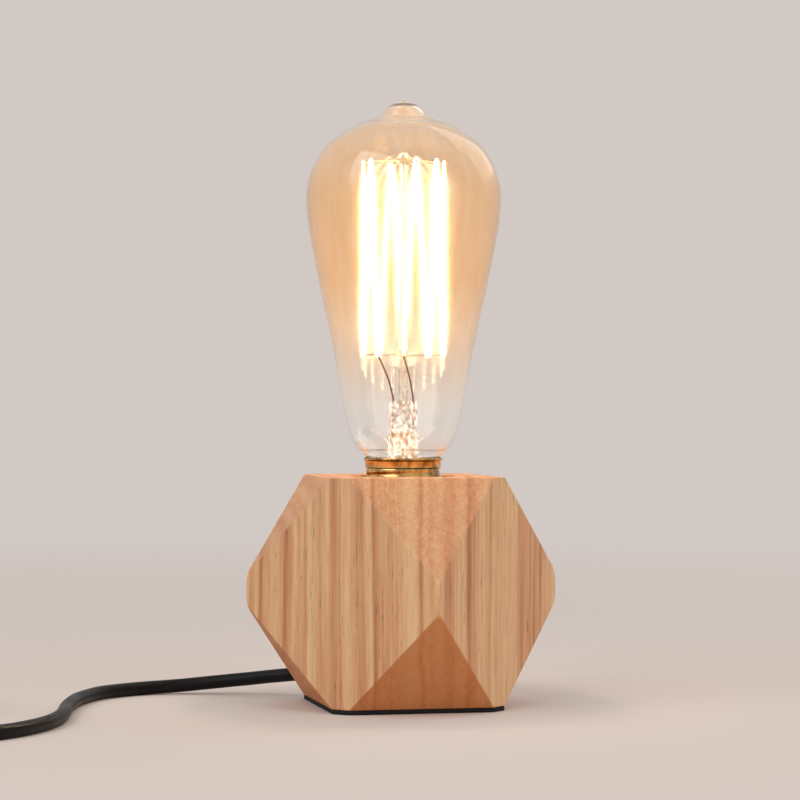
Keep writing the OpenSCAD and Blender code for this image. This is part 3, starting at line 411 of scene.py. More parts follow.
def ash(name, sanded_edge_with_highlight):
    """Oiled ash: straight pale and pink-brown bands up the block, fine streaks and short dark pores along the
    grain, speckled darker wood where a slanted face cuts the grain across, and a painted shade on faces that
    look down."""
    look, tree = new_look(name)
    place = at_real_size(tree)
    from_pith = node(tree, "VectorMath", {0: place, 1: PITH}, operation="SUBTRACT")
    in_plan = node(tree, "VectorMath", {0: from_pith, 1: (1, 1, 0.02)}, operation="MULTIPLY")
    distance = node(tree, "VectorMath", {0: in_plan}, "Value", operation="LENGTH")
    wander = specks(tree, 26, (1, 1, 6), 3, 0.45)
    sway = node(tree, "MapRange", {"Value": wander, **reach(0.3, 0.7, -1.5, 1.5)})
    ring = node(tree, "Math", {0: distance, 1: sway}, operation="ADD")
    # Groups of darker years, the bands in them, and the late wood that darkens the end of each year.
    grouped = node(tree, "Math", {0: ring, 1: BAND_GROUP}, operation="DIVIDE")
    groups = node(tree, "TexNoise", {
        "W": grouped, "Scale": 1.0, "Detail": 1.0,
    }, "Fac", noise_dimensions="1D")
    banded = node(tree, "Math", {0: ring, 1: BAND}, operation="DIVIDE")
    bands = node(tree, "TexNoise", {
        "W": banded, "Scale": 1.0, "Detail": 3.0,
    }, "Fac", noise_dimensions="1D")
    years = node(tree, "Math", {0: ring, 1: RING}, operation="DIVIDE")
    year = node(tree, "Math", {0: years}, operation="FRACT")
    late = node(tree, "ValToRGB", {"Fac": year}, stops=(
        (0.0, "808080"), (0.2, "303030"), (0.5, "000000"), (0.72, "404040"), (0.9, "d0d0d0"),
        (1.0, "808080"),
    ))
    strong = node(tree, "MapRange", {"Value": groups, **reach(0.36, 0.62, 0.1, 0.62)})
    rings = node(tree, "Math", {0: late, 1: strong}, operation="MULTIPLY")
    broad = node(tree, "MapRange", {"Value": groups, **reach(0.36, 0.66, 0.0, 0.34)})
    soft = node(tree, "MapRange", {"Value": bands, **reach(0.34, 0.66, -0.12, 0.56)})
    long_streak = specks(tree, STREAK, (1, 1, 34), 3, 0.55)
    streak = node(tree, "MapRange", {"Value": long_streak, **reach(0.34, 0.68, -0.2, 0.26)})
    shade = node(tree, "Math", {0: rings, 1: broad}, operation="ADD")
    shade = node(tree, "Math", {0: shade, 1: soft}, operation="ADD")
    shade = node(tree, "Math", {0: shade, 1: streak}, operation="ADD", use_clamp=True)
    base = node(tree, "ValToRGB", {"Fac": shade}, stops=(
        (0.0, "e6c192"), (0.3, "e0b587"), (0.6, "d39e72"), (0.85, "c28861"), (1.0, "ae7451"),
    ))
    # Slow changes of tone, then fibres, then short dark pores in rows.
    tone = node(tree, "MapRange", {"Value": specks(tree, 17, (1, 1, 3)), **reach(0.35, 0.7, 0.0, 0.3)})
    base = node(tree, "Mix", {0: tone, 6: base, 7: colour("dfa37c")}, **COLOUR)
    fibre = specks(tree, FIBRE, (1, 1, 16), 3, 0.6)
    dark_fibre = node(tree, "MapRange", {"Value": fibre, **reach(0.42, 0.72, 0.0, 0.3)})
    base = node(tree, "Mix", {0: dark_fibre, 6: base, 7: colour("a2704a")}, **COLOUR)
    dash = node(tree, "MapRange", {"Value": specks(tree, PORE, (1, 1, 12)), **reach(0.61, 0.71)})
    rows = node(tree, "MapRange", {"Value": specks(tree, PORE_ROW, (1, 1, 9)), **reach(0.46, 0.60)})
    pore = node(tree, "Math", {0: dash, 1: rows}, operation="MULTIPLY")
    pore_dark = node(tree, "Math", {0: pore, 1: 0.6}, operation="MULTIPLY")
    base = node(tree, "Mix", {0: pore_dark, 6: base, 7: colour("74482c")}, **COLOUR)
    # The slanted faces cut the grain across, redder and speckled. Faces that look down get a painted shade,
    #     dark orange, that stands for shade and warm bounce light under the block.
    facing = node(tree, "NewGeometry", {}, "True Normal")
    upward = node(tree, "SeparateXYZ", {"Vector": facing}, "Z")
    slant = node(tree, "Math", {0: upward}, operation="ABSOLUTE")
    across = node(tree, "MapRange", {"Value": slant, **reach(0.3, 0.55, 0.0, 0.75)})
    grit = specks(tree, CUT_SPECK, (1, 1, 1), 2, 0.6)
    speck = node(tree, "MapRange", {"Value": grit, **reach(0.42, 0.66)})
    cut_grain = node(tree, "Mix", {0: speck, 6: colour("d0946e"), 7: colour("b77751")}, **COLOUR)
    cut_grain = node(tree, "Mix", {0: 0.42, 6: cut_grain, 7: base}, **COLOUR)
    base = node(tree, "Mix", {0: across, 6: base, 7: cut_grain}, **COLOUR)
    # Painted shade and bounce light: the more a face looks down, the more it turns dark orange.
    painted_underside_shade = node(tree, "MapRange", {"Value": upward, **reach(-0.2, -0.5, 0.0, 0.55)})
    base = node(tree, "Mix", {0: painted_underside_shade, 6: base, 7: colour("c66c16")}, **COLOUR)
    # Sanding takes the oiled skin off the edges, which are paler, and the pale colour is made stronger as a
    #     painted highlight along the edges.
    if sanded_edge_with_highlight:
        base = node(tree, "Mix", {0: 0.7, 6: base, 7: colour("f2d2ae")}, **COLOUR)
    shine = node(tree, "MapRange", {"Value": fibre, **reach(0.3, 0.7, 0.46, 0.62)})
    raised = node(tree, "Math", {0: fibre, 1: pore}, operation="SUBTRACT")
    bump = node(tree, "Bump", {"Height": raised, "Strength": 0.22, "Distance": 0.2 * MM})
    shader = {"Base Color": base, "Roughness": shine, "Normal": bump, "Specular IOR Level": 0.35}
    node(tree, "OutputMaterial", {"Surface": node(tree, "BsdfPrincipled", shader)})
    return look


well = turned([
    (0, WELL_LOW), (WELL_R, WELL_LOW), (WELL_R, BLOCK_TOP - RIM_SANDED),
    (WELL_R + 0.3 * RIM_SANDED, BLOCK_TOP - 0.3 * RIM_SANDED), (WELL_R + RIM_SANDED, BLOCK_TOP),
    (WELL_R + RIM_SANDED, BLOCK_TOP + OVERSHOOT), (0, BLOCK_TOP + OVERSHOOT),
], 128)
wiring_space = turned([(0, 0), (SPACE_R, 0), (SPACE_R, SPACE_TOP), (0, SPACE_TOP)])
nipple_bore = turned([(0, BORE_LOW), (BORE_R, BORE_LOW), (BORE_R, BORE_TOP), (0, BORE_TOP)], 48)
cord_hole = turned([(0, 0), (CORD_HOLE_R, 0), (CORD_HOLE_R, BLOCK / 2), (0, BLOCK / 2)], 48)
cord_hole.transform(
    Matrix.Translation(Vector((-BLOCK / 2 - 1, 0, CORD_Z)) * MM)
    @ Matrix.Rotation(math.radians(90), 4, "Y")
)
block_mesh = bored(
    "block", stored("cube", cut_back_cube(), 5), [well, wiring_space, nipple_bore, cord_hole]
)
block = add_piece("block", block_mesh, "base", ash("oiled_ash", False), ["wood_block"])
# The second look, on the sanded faces, is paler wood with a painted highlight along the edges.
block_mesh.materials.append(ash("oiled_ash_sanded_edge", True))
even = block.modifiers.new("even_faces", "WEIGHTED_NORMAL")
even.keep_sharp = False


# Rubber pad: a thin square cut from a sheet of cellular rubber, and glued under the block so that it stands
# fast. It is dull black with a fine open grain.
def eased_edges(name, source, width, sharp=30):
    """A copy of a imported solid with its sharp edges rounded, for moulded and stamped pieces."""
    made = bmesh.new()
    made.from_mesh(CAD[source].data)
    bmesh.ops.remove_doubles(made, verts=made.verts, dist=0.002 * MM)
    bmesh.ops.dissolve_limit(made, angle_limit=math.radians(1), verts=made.verts, edges=made.edges)
    made.normal_update()
    edges = [
        e for e in made.edges
        if len(e.link_faces) == 2 and e.calc_face_angle(0) > math.radians(sharp)
    ]
    bmesh.ops.bevel(
        made, geom=edges, offset=width * MM, segments=3, profile=0.5, affect="EDGES", clamp_overlap=True,
    )
    return stored(name, made, sharp)


RUBBER = moulded("cellular_rubber", "151515", "1f1f1f", 0.82, 0.7, 0.12, 0.3)
add_piece(
    "rubber_pad", eased_edges("rubber_pad", "base_pad", 0.3), "base", RUBBER, ["base_pad"]
)


# Lampholder: a moulded phenolic cup and sleeve, a steatite insert, and a screw shell of rolled brass sheet.
# A hollow nipple with a washer and a nut holds it down in the block.
SLEEVE_R, SLEEVE_BORE, SLEEVE_SEAT, SLEEVE_LOW, SLEEVE_TOP = 17.0, 14.4, 15.6, 40.0, 74.6
RIM_R, LIP_R = 0.5, 0.4
INSERT_TOP = 48.0
THREAD_R, THREAD_WAVE, THREAD_STEP, SHEET, TURN_ROWS = 12.675, 0.525, 3.629, 0.35, 14
SHELL_R, SHELL_FLARE = 13.375, 0.575
SHELL_PLAIN, SHELL_THREAD_LOW, SHELL_THREAD_TOP, SHELL_TOP = 50.4, 51.2, 72.5, 73.5


def dress(look, *names):
    """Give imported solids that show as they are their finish."""
    for name in names:
        CAD[name].data.materials.clear()
        CAD[name].data.materials.append(look)


def metal(name, code, dull_code, rough, grain=0.6, depth=0.004, stretch=(1, 1, 1)):
    """Turned, stamped or plated metal: an even tone with slight tarnish, and tool marks in its shine that
    are drawn coarser than real ones, so that they show."""
    look, tree = new_look(name)
    tarnish = node(tree, "MapRange", {"Value": specks(tree, 3.5, detail=3), **reach(0.42, 0.72)})
    base = node(tree, "Mix", {0: tarnish, 6: colour(code), 7: colour(dull_code)}, **COLOUR)
    marks = specks(tree, grain, stretch)
    shine = node(tree, "MapRange", {"Value": marks, **reach(0.3, 0.7, rough - 0.05, rough + 0.08)})
    bump = node(tree, "Bump", {"Height": marks, "Strength": 0.3, "Distance": depth * MM})
    node(tree, "OutputMaterial", {"Surface": node(tree, "BsdfPrincipled", {
        "Base Color": base, "Metallic": 1.0, "Roughness": shine, "Normal": bump,
    })})
    return look


def fired(name, code, speck_code, rough, size):
    """Fired or set mineral: pressed steatite, cement or dark glass, matt or glazed, with specks that are
    drawn as coarse as they need to be to show."""
    look, tree = new_look(name)
    fleck = node(tree, "MapRange", {"Value": specks(tree, size, detail=3), **reach(0.45, 0.68)})
    base = node(tree, "Mix", {0: fleck, 6: colour(code), 7: colour(speck_code)}, **COLOUR)
    shine = node(tree, "MapRange", {"Value": fleck, **reach(0, 1, rough, rough + 0.1)})
    bump = node(tree, "Bump", {"Height": fleck, "Strength": 0.2, "Distance": 0.03 * MM})
    node(tree, "OutputMaterial", {"Surface": node(tree, "BsdfPrincipled", {
        "Base Color": base, "Roughness": shine, "Normal": bump,
    })})
    return look


def thread_rows(low, high, mean, grow):
    """Rows of height, radius and thread depth up a rolled thread, which fades out over a turn at each end."""
    rows = []
    for i in range(int((high - low) * TURN_ROWS / THREAD_STEP) + 1):
        z = low + i * THREAD_STEP / TURN_ROWS
        share = max(0, min(1, (z - low) / THREAD_STEP, (high - z) / THREAD_STEP))
        rows.append((z, mean + grow * THREAD_WAVE * (1 - share), THREAD_WAVE * share))
    return rows


def threaded_sheet(name, rows, sides=96):
    """A tube of thin sheet, rolled to a thread: the rows outside, and again a sheet's thickness inside."""
    made = bmesh.new()
    outline = rows + [(z, r - SHEET, wave) for z, r, wave in reversed(rows)]
    columns = []
    for k in range(sides):
        turn = 360 * k / sides
        columns.append([
            made.verts.new(polar(
                r + wave * math.cos(math.radians(360 * z / THREAD_STEP - turn)), turn, z
            ) * MM)
            for z, r, wave in outline
        ])
    for a, b in zip(columns, columns[1:] + columns[:1]):
        for j in range(len(outline)):
            k = (j + 1) % len(outline)
            made.faces.new([a[j], b[j], b[k], a[k]])
    bmesh.ops.recalc_face_normals(made, faces=made.faces)
    return stored(name, made, 50)


# Phenolic from a polished mould has a clear shine. The rolled brass is bright, with brown tarnish and marks
# that run round it, and the sprung brass and the zinc plate are duller. Pressed steatite is a satin cream.
PHENOLIC = moulded("moulded_phenolic", "100f0f", "181615", 0.3, 1.2, 0.01)
BRASS = metal("rolled_brass", "eec07a", "623c1c", 0.13, 2.2, 0.05, (3, 3, 0.5))
SPRING_BRASS = metal("spring_brass", "d8a95c", "a9783a", 0.32)
ZINC = metal("zinc_plated_steel", "c4c6c9", "9ea2a8", 0.36)
quarter = [(math.sin(math.radians(a)), math.cos(math.radians(a))) for a in range(0, 91, 15)]
rim = [(SLEEVE_R - RIM_R + RIM_R * x, SLEEVE_TOP - RIM_R + RIM_R * z) for x, z in reversed(quarter)]
lip = [(SLEEVE_BORE + LIP_R - LIP_R * x, SLEEVE_TOP - LIP_R + LIP_R * z) for x, z in quarter]
sleeve = turned([
    (SLEEVE_SEAT, SLEEVE_LOW), (SLEEVE_R, SLEEVE_LOW), *rim, *lip, (SLEEVE_BORE, INSERT_TOP),
    (SLEEVE_SEAT, INSERT_TOP),
])
add_piece(
    "upper_sleeve", stored("upper_sleeve", sleeve), "base", PHENOLIC, ["holder_sleeve"]
)
shell_rows = [
    (INSERT_TOP, SHELL_R, 0), (SHELL_PLAIN, SHELL_R, 0),
    *thread_rows(SHELL_THREAD_LOW, SHELL_THREAD_TOP, SHELL_R, 1), (SHELL_TOP, SHELL_R + SHELL_FLARE, 0),
]
add_piece(
    "threaded_shell", threaded_sheet("threaded_shell", shell_rows), "base", BRASS,
    ["screw_shell"],
)
dress(PHENOLIC, "holder_cup")
dress(fired("pressed_steatite", "ece5d6", "d9cfba", 0.42, 0.5), "holder_insert")
dress(SPRING_BRASS, "shell_strap", "centre_contact", "terminals")
dress(ZINC, "terminal_screws", "nipple", "nipple_washer", "nipple_nut", "clamp_screws")


# Cord entry: a moulded bush with a rounded flange in the block's back, a clamp of two moulded halves on the
# sheath's end, and the two insulated cores that go up through the nipple to the terminals.
TAIL_END, CORE_R, BARE_R = -10.0, 1.0, 0.5
CORE_TURN, TERMINAL_X = 1.3, 7.6
BARE_LOW, BARE_MIDDLE, BARE_TOP = 35.9, 37.8, 39.8
# ABS from a spark-eroded mould is a soft dark grey in the light. The cores' PVC is even and satin.
BLACK_PLASTIC = moulded("moulded_black_abs", "101011", "1b1b1c", 0.4, 0.45, 0.03)
BROWN_PVC = moulded("brown_pvc", "5c3220", "6d3e29", 0.42, 0.8, 0.01)
BLUE_PVC = moulded("blue_pvc", "1f5c93", "2b6ba4", 0.42, 0.8, 0.01)
add_piece(
    "entry_bush", eased_edges("entry_bush", "cord_bush", 0.4), "base", BLACK_PLASTIC,
    ["cord_bush"],
)
dress(BLACK_PLASTIC, "clamp_lower", "clamp_upper")
tail_line = [Vector((x, 0, CORD_Z)) for x in (-39, -30, -20, TAIL_END)]
add_piece(
    "sheathed_tail", round_wire("sheathed_tail", [tail_line], LIE, CORD_SIDES), "base",
    CORD_PVC, ["cord_tail"],
)
for name, replaced, slot, look, side in (
    ("live_wire", "live_core", "core_brown", BROWN_PVC, 1),
    ("neutral_wire", "neutral_core", "core_blue", BLUE_PVC, -1),
):
    core_line = [Vector(p) for p in (
        (TAIL_END, 1.15 * side, CORD_Z), (-7, 1.2 * side, CORD_Z), (-4.2, 1.25 * side, 8.7),
        (-2, CORE_TURN * side, 10.4), (-0.8, CORE_TURN * side, 13), (0, CORE_TURN * side, 17),
        (0, CORE_TURN * side, 29.5), (1.2 * side, 1.2 * side, 31.6), (4.4 * side, 0.8 * side, 33.2),
        (6.8 * side, 0.2 * side, 34.5), (TERMINAL_X * side, 0, 35.4), (TERMINAL_X * side, 0, BARE_LOW),
    )]
    add_piece(name, round_wire(name, [eased(core_line, 4)], CORE_R), "base", look, [replaced])
    # Bared copper strands, a dull orange.
    bared = [Vector((TERMINAL_X * side, 0, z)) for z in (BARE_LOW, BARE_MIDDLE, BARE_TOP)]
    add_piece(
        name + "_end", round_wire(name + "_end", [bared], BARE_R), "base",
        metal(name + "_copper", "c98a5c", "9a5f3a", 0.4, 0.3),
    )


# Bulb: blown soda-lime glass with a faint amber coating that deepens upwards, cemented in a screw cap of
# rolled brass. Black glass insulates the tin contact at the foot of the cap.
BULB_Z = BLOCK_TOP + 6
BULB_TURN = Matrix.Rotation(math.radians(-57.7), 4, "Z")
GLASS_R, GLASS_H, GLASS_T = 32.5, 119.2, 0.8
NECK_R, NECK_LOW = 11.3, -15
HAZE, HAZE_LOW, HAZE_HIGH = 0.17, (24, 42), (99.5, 88)
# Strength of the painted glow that the coated glass gives off.
PAINTED_GLASS_GLOW = 0.045
GLASS_SHAPE = [
    (0.404, 0.010), (0.468, 0.027), (0.545, 0.062), (0.600, 0.121), (0.677, 0.236), (0.760, 0.357),
    (0.843, 0.460), (0.920, 0.561), (0.985, 0.664), (1.000, 0.741), (0.942, 0.808), (0.794, 0.874),
    (0.530, 0.925), (0.330, 0.946), (0.243, 0.960), (0.150, 0.985), (0.000, 1.000),
]


def open_to_light(tree, glass, tint):
    """Finish a glass so that the lamps' light goes straight through it to what is under it."""
    passing = either_ray(tree, "Is Shadow Ray", "Is Diffuse Ray")
    clear = node(tree, "BsdfTransparent", {"Color": tint})
    node(tree, "OutputMaterial", {"Surface": node(tree, "MixShader", {0: passing, 1: glass, 2: clear})})


def clear_glass(name, code, painted_reflection_code, painted_glint_strength):
    """Drawn or pressed glass. Small glowing specks on its uneven skin are a painted glint of the filament's
    light, and warmer tinted specks a painted reflection of the brass and wood, the more so where it was
    pressed."""
    look, tree = new_look(name)
    skin = specks(tree, 1.3, (1, 1, 1.5), 3)
    bump = node(tree, "Bump", {"Height": skin, "Strength": 0.8, "Distance": 0.5 * MM})
    # Painted glint: small specks of the skin glow warm white.
    bright = node(tree, "MapRange", {"Value": skin, **reach(0.50, 0.58, 0.02, painted_glint_strength)})
    # Painted reflection: other specks take a warmer tint.
    painted_reflection_mask = node(tree, "MapRange", {"Value": skin, **reach(0.47, 0.40)})
    tint = node(tree, "Mix", {0: painted_reflection_mask, 6: colour(code), 7: colour(painted_reflection_code)}, **COLOUR)
    glass = node(tree, "BsdfPrincipled", {
        "Base Color": tint, "Roughness": 0.0, "IOR": 1.5, "Transmission Weight": 1.0, "Normal": bump,
        "Emission Color": colour("fff0dc"), "Emission Strength": bright,
    })
    open_to_light(tree, glass, colour(code))
    return look


def coated_glass(name):
    """Blown glass with an amber coating: nearly clear at the neck and warmer up to the shoulder. It gives off
    a faint painted glow, greyer at the neck and warm above it, that stands for the filament's light in it,
    and over the cage its haze spreads the filament's light to a soft bloom."""
    look, tree = new_look(name)
    height = node(tree, "SeparateXYZ", {"Vector": at_real_size(tree)}, "Z")
    share = node(tree, "MapRange", {"Value": height, **reach(0, GLASS_H)})
    rise = node(tree, "ValToRGB", {"Fac": share}, stops=(
        (0.0, "000000"), (0.14, "0c0c0c"), (0.34, "c8c8c8"), (0.5, "ffffff"), (0.75, "f0f0f0"),
        (1.0, "b8b8b8"),
    ))
    # The coat is a little uneven: soft clouds, and fine streaks down the glass from its drawing.
    cloud = node(tree, "MapRange", {"Value": specks(tree, 9, (1, 1, 3)), **reach(0.3, 0.7, 0.88, 1.04)})
    line = specks(tree, 2.4, (1, 1, 24), 3)
    drawn = node(tree, "MapRange", {"Value": line, **reach(0.35, 0.65, 0.78, 1.12)})
    cloud = node(tree, "Math", {0: cloud, 1: drawn}, operation="MULTIPLY")
    coat = node(tree, "Math", {0: rise, 1: cloud}, operation="MULTIPLY", use_clamp=True)
    tint = node(tree, "ValToRGB", {"Fac": coat}, stops=((0.0, "fdfcfa"), (1.0, "fbe3c2")))
    cage_up = node(tree, "MapRange", {"Value": height, **reach(*HAZE_LOW, 0.0, HAZE)})
    cage_down = node(tree, "MapRange", {"Value": height, **reach(*HAZE_HIGH)})
    haze = node(tree, "Math", {0: cage_up, 1: cage_down}, operation="MULTIPLY")
    # Painted glow: the glass gives off a faint light of its own, greyer at the neck and warm above it.
    painted_glow_colour = node(tree, "ValToRGB", {"Fac": share}, stops=(
        (0.0, "a0968c"), (0.12, "aaa095"), (0.36, "ffc48c"), (0.6, "f4b482"), (0.85, "e8b88e"),
        (1.0, "e8c29c"),
    ))
    glass = node(tree, "BsdfPrincipled", {
        "Base Color": tint, "Roughness": haze, "IOR": 1.47, "Transmission Weight": 1.0,
        "Emission Color": painted_glow_colour, "Emission Strength": PAINTED_GLASS_GLOW,
    })
    open_to_light(tree, glass, tint)
    return look


glass_points = [Vector((NECK_R, share * NECK_LOW)) for share in (1, 0.6, 0.2)]
glass_points += [Vector((r * GLASS_R, h * GLASS_H)) for r, h in GLASS_SHAPE]
outer = eased(glass_points, ROUTE_STEPS)
inner = []
for i, p in enumerate(outer):
    way = (outer[min(i + 1, len(outer) - 1)] - outer[max(i - 1, 0)]).normalized()
    if p.x > 5 * GLASS_T:
        inner.append(p + GLASS_T * Vector((-way.y, way.x)))
glass_outline = [tuple(p) for p in outer[:-1]] + [(0, outer[-1].y), (0, inner[-1].y + 0.3)]
glass_outline += [tuple(p) for p in reversed(inner)]
add_piece(
    "blown_glass", stored("blown_glass", turned(glass_outline, 128), 60), "bulb",
    coated_glass("coated_soda_glass"), ["bulb_glass"], (0, 0, BULB_Z),
)
# Rows of height, radius and thread depth: the cap's foot, its thread, its plain neck and the bead at its
# rim.
cap_rows = [
    (61, 11.2, 0), *thread_rows(62.1, 79.1, THREAD_R, -1), (79.3, THREAD_R, 0), (81.4, THREAD_R, 0),
    (81.55, THREAD_R + 0.12, 0), (81.8, THREAD_R + 0.42, 0), (81.95, THREAD_R + 0.5, 0),
    (82.3, THREAD_R + 0.5, 0), (82.5, THREAD_R + 0.38, 0),
]
add_piece("brass_cap", threaded_sheet("brass_cap", cap_rows), "bulb", BRASS, ["bulb_cap"])
# Glossy black glass, a blob of bright solder with a dimpled skin, chalky cement and reddish wire.
dress(fired("black_glass", "0b0a0e", "17151c", 0.12, 1.5), "cap_insulator")
dress(metal("tin_solder", "b7b8ba", "8d8f92", 0.34, 0.8, 0.03), "cap_contact")
dress(fired("basing_cement", "b99a70", "8f7450", 0.85, 0.6), "basing_cement")
dress(metal("copper_clad_wire", "b87348", "8a5030", 0.42, 0.4), "cap_wires")


# Stem: lead glass drawn to a flared tube and pressed flat round the lead wires. The rod that grows out of it
# carries two buttons, and the wire hooks that hold the filament are melted into them.
CAGE_TOP_R, CAGE_LOW_R, CAGE_TOP, CAGE_LOW, LOOPS = 13.5, 14.2, 98.9, 34.0, 9
CAGE_STEP = 360 / (LOOPS + 1)
FILAMENT_R, HOOK_R, LEAD_R, BEND_R = 0.225, 0.2, 0.3, 0.7
HOOK_UP = FILAMENT_R + HOOK_R + 0.02
BUTTON_R, BUTTON_UP, ROD_R, STEM_TOP, LEAD_X, PINCH_LOW = 2.3, 0.9, 1.5, 18.9, 3.3, 9.5
BUTTON_EASE_R = 2.05
HOOK_IN, HOOK_OUT, HOOK_TIP = 0.6, 0.35, 0.7
# Both stem glasses carry a painted glint of the filament's light in glowing specks and a painted reflection
# of the brass and wood in warmer specks, the pressed one the most.
STEM_GLASS = clear_glass("drawn_lead_glass", "f7f5f1", "f3e2d0", 0.08)
add_piece(
    "pressed_stem", eased_edges("pressed_stem", "bulb_stem", 0.25, 45), "bulb",
    clear_glass("pressed_lead_glass", "faf6f0", "e4b892", 0.42), ["bulb_stem"],
)
dress(STEM_GLASS, "exhaust_tube")
low, high = CAGE_LOW + HOOK_UP, CAGE_TOP + BUTTON_UP
rod_outline = [
    (0, STEM_TOP), (ROD_R, STEM_TOP), (ROD_R, low - 1.6), (BUTTON_EASE_R, low - 1.25),
    (BUTTON_R, low - 0.7), (BUTTON_R, low + 0.7), (BUTTON_EASE_R, low + 1.25), (ROD_R, low + 1.6),
    (ROD_R, high - 1.8), (BUTTON_EASE_R, high - 1.4), (BUTTON_R, high - 0.8),
]
rod_outline += [(BUTTON_R * x, high + BUTTON_R * z) for z, x in quarter]
add_piece(
    "glass_rod", stored("glass_rod", turned(rod_outline, 40), 50), "bulb", STEM_GLASS,
    ["centre_rod"], (0, 0, BULB_Z),
)


def in_bulb(name, lines, radius, look, replaced):
    """Round wires in the bulb, turned with it to the angle that it is screwed round to."""
    data = round_wire(name, lines, radius)
    data.transform(BULB_TURN)
    return add_piece(name, data, "bulb", look, [replaced], (0, 0, BULB_Z))


# Molybdenum wire is a dull warm grey.
HOOKS = metal("molybdenum_wire", "a7a39c", "7d776c", 0.4, 0.3)
hook_high = CAGE_TOP - HOOK_UP
upper_hooks = [[
    polar(BUTTON_R, a, high - 0.4), polar(CAGE_TOP_R - HOOK_IN, a, hook_high + 0.05),
    polar(CAGE_TOP_R + HOOK_OUT, a, hook_high), polar(CAGE_TOP_R + HOOK_TIP, a, hook_high + 0.25),
] for a in (CAGE_STEP * (k + 0.5) for k in range(LOOPS))]
lower_hooks = [[
    polar(BUTTON_R, a, low), polar(CAGE_LOW_R - 0.5, a, low),
    polar(CAGE_LOW_R + HOOK_OUT, a, low), polar(CAGE_LOW_R + HOOK_TIP, a, low - 0.25),
] for a in (CAGE_STEP * k for k in range(1, LOOPS))]
in_bulb("upper_hooks", upper_hooks, HOOK_R, HOOKS, "upper_supports")
in_bulb("lower_hooks", lower_hooks, HOOK_R, HOOKS, "lower_supports")
LEAD_SWEEP = ((0.1, 3.2), (0.34, 7.5), (0.7, 12))
leads = []
for side, turn in ((1, 0), (-1, -CAGE_STEP)):
    y = side * LEAD_X
    outward = polar(CAGE_LOW_R, turn, 0)
    foot = Vector((0, y, 0))
    leads.append(eased([
        Vector((0, y, PINCH_LOW - 4)), Vector((0, y, PINCH_LOW)), Vector((0, y, STEM_TOP)),
        *[foot.lerp(outward, share) + Vector((0, 0, STEM_TOP + up)) for share, up in LEAD_SWEEP],
        outward + Vector((0, 0, CAGE_LOW + LEAD_R)),
    ], 5))
# Nickel that grew hot while the glass was sealed is brown with oxide.
NICKEL = metal("oxidised_nickel_wire", "9c5c30", "673a1e", 0.5, 0.4)
in_bulb("lead_in_wires", leads, LEAD_R, NICKEL, "lead_wires")


# Filament: one long wire of coiled tungsten that zigzags between the hooks and glows white hot. Its coils
# are too fine to show, so a coarser wave in its strength stands for them, and it is drawn thicker than the
# packed wire.
GLOW_R, GLOW_END, GLOW_LEAST, GLOW_MOST = 0.3, 0.6, 560, 700
LAMP_WATTS, LAMP_WIDTH, LAMP_UP = 0.18, 0.012, 62
BEND_STEPS = 4


def bend(radius, degrees, z, up):
    """The round bend of the filament over a hook: half a turn."""
    out = []
    for i in range(-BEND_STEPS, BEND_STEPS + 1):
        a = math.radians(90 * i / BEND_STEPS)
        aside = math.degrees(BEND_R * math.sin(a) / radius)
        out.append(polar(radius, degrees + aside, z - up * BEND_R * (1 - math.cos(a))))
    return out


zigzag = [polar(CAGE_LOW_R, 0, CAGE_LOW + GLOW_END)]
for k in range(LOOPS):
    zigzag += bend(CAGE_TOP_R, CAGE_STEP * (k + 0.5), CAGE_TOP, 1)
    if k < LOOPS - 1:
        zigzag += bend(CAGE_LOW_R, CAGE_STEP * (k + 1), CAGE_LOW, -1)
zigzag.append(polar(CAGE_LOW_R, -CAGE_STEP, CAGE_LOW + GLOW_END))
glowing, tree = new_look("glowing_tungsten")
coils = node(tree, "TexWave", {"Vector": at_real_size(tree), "Scale": 0.35}, "Fac", bands_direction="Z")
heat = node(tree, "MapRange", {"Value": coils, **reach(0, 1, GLOW_LEAST, GLOW_MOST)})
node(tree, "OutputMaterial", {"Surface": node(tree, "BsdfPrincipled", {
    "Base Color": colour("30251c"), "Roughness": 0.5, "Emission Color": colour("ffe0b4"),
    "Emission Strength": heat,
})})
glowing.cycles.emission_sampling = "NONE"
filament = in_bulb("filament_wire", [zigzag], GLOW_R, glowing, "filament")
filament.visible_diffuse = False
# A small warm lamp that doesn't show itself stands for the light that the filament throws on the block.
lamp_data = bpy.data.lights.new("filament_light", "POINT")
lamp_data.energy, lamp_data.shadow_soft_size = LAMP_WATTS, LAMP_WIDTH
lamp_data.color = colour("ffe6cc")[:3]
lamp = bpy.data.objects.new("filament_light", lamp_data)
lamp.location = (0, 0, (BULB_Z + LAMP_UP) * MM)
lamp.visible_camera = lamp.visible_transmission = lamp.visible_glossy = False
bpy.context.scene.collection.objects.link(lamp)


# Inline switch: two moulded shells with a fine grain, screwed together from below, round a rocker that
# presses a nylon plunger on to a see-saw contact of spring brass.
SWITCH_AT, SWITCH_CORD_Z = Vector((-112, -170, 0)), 8.5
SHEATH_ENDS, WIRE_R, WIRE_Z = (24, 27, 30), 0.9, 4.7
for name, source in (("lower_shell", "switch_lower"), ("upper_shell", "switch_upper")):
    add_piece(name, eased_edges(name, source, 0.35), "base", BLACK_PLASTIC, [source])
# The rocker's mould was polished and fingers polish it further, so it shines more than the shells.
ROCKER_PLASTIC = moulded("polished_black_abs", "0d0d0e", "161617", 0.24, 1.2, 0.004)
add_piece(
    "rocker_cap", eased_edges("rocker_cap", "switch_rocker", 0.3), "rocker",
    ROCKER_PLASTIC, ["switch_rocker"],
)
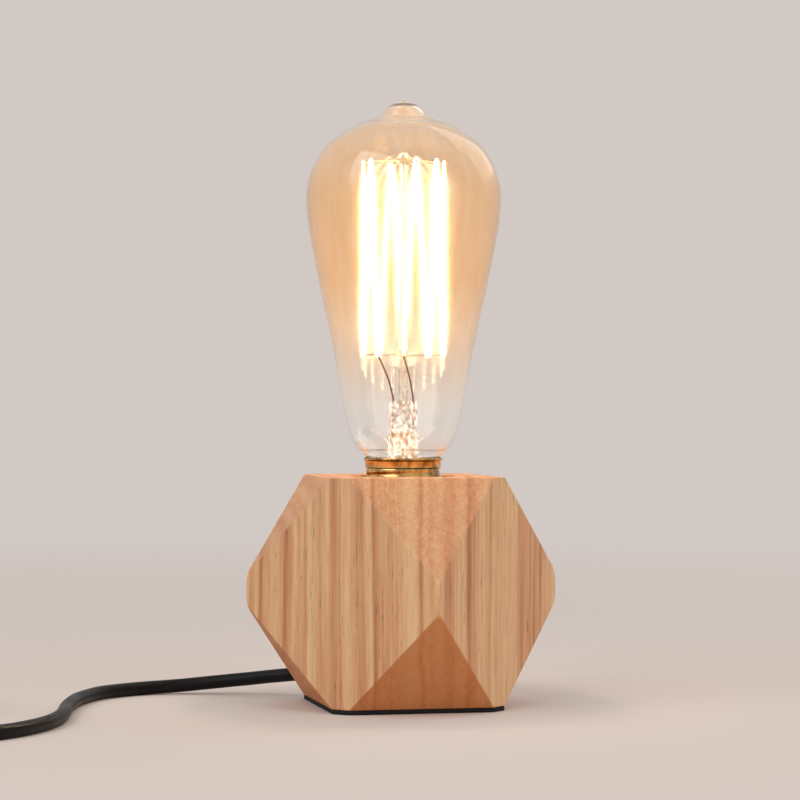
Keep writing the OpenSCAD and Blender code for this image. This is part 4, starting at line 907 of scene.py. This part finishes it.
# Moulded nylon is a waxy off-white, and drawn spring wire is bright.
dress(moulded("white_nylon", "e9e6df", "d9d4ca", 0.4, 0.7, 0.01), "rocker_plunger")
dress(metal("spring_steel_wire", "b9bbbe", "8f9296", 0.3, 0.3), "plunger_spring")
dress(SPRING_BRASS, "switch_seesaw", "switch_contacts", "switch_terminals")
dress(ZINC, "switch_screws")
for side, name, replaced in ((1, "switch_end_sheath", ["switch_wires"]), (-1, "switch_start_sheath", ())):
    run = [SWITCH_AT + Vector((side * x, 0, SWITCH_CORD_Z)) for x in SHEATH_ENDS]
    add_piece(name, round_wire(name, [run], LIE, CORD_SIDES), "base", CORD_PVC, replaced)
# The neutral core runs round the works from end to end. The live core stops at a terminal on each side.
neutral_run = [SWITCH_AT + Vector(p) for p in (
    (-24, -1.2, SWITCH_CORD_Z), (-22, -1.6, 8.1), (-18.5, -5, 6.6), (-14, -6.4, 5.4), (-8, -6.6, 5),
    (8, -6.6, 5), (14, -6.4, 5.4), (18.5, -5, 6.6), (22, -1.6, 8.1), (24, -1.2, SWITCH_CORD_Z),
)]
add_piece(
    "switch_neutral", round_wire("switch_neutral", [neutral_run], WIRE_R), "base", BLUE_PVC
)
live_run = (
    (24, 1.2, SWITCH_CORD_Z), (22.4, 1, 7.9), (20.8, 0.4, 5.7), (19, 0, WIRE_Z), (18.1, 0, WIRE_Z),
)
live_runs = [[SWITCH_AT + Vector((side * x, y, z)) for x, y, z in live_run] for side in (1, -1)]
add_piece("switch_live", round_wire("switch_live", live_runs, WIRE_R), "base", BROWN_PVC)


# Plug: a slim two-pin plug moulded on to the cord in soft black PVC, with a ribbed strain relief. Its pins
# are nickel-plated brass, sleeved in nylon over their first half. Moulded soft PVC is a little duller and
# greyer than the cord's.
PLUG_PVC = moulded("moulded_black_pvc", "111112", "1c1c1d", 0.46, 0.5, 0.03)
for name, source, width in (("plug_shell", "plug_body", 0.5), ("ribbed_relief", "plug_relief", 0.2)):
    add_piece(name, eased_edges(name, source, width), "base", PLUG_PVC, [source])
# Nickel plate is bright and faintly yellow, and the nylon of the sleeves is a satin black.
NICKEL_PLATE = metal("nickel_plated_brass", "cfc9bd", "b5ac9b", 0.2, 0.4)
add_piece(
    "round_pins", eased_edges("round_pins", "plug_pins", 0.15, 25), "base", NICKEL_PLATE,
    ["plug_pins"],
)
dress(moulded("pin_sleeve_nylon", "131314", "1c1c1d", 0.46, 0.6, 0.01), "pin_sleeves")
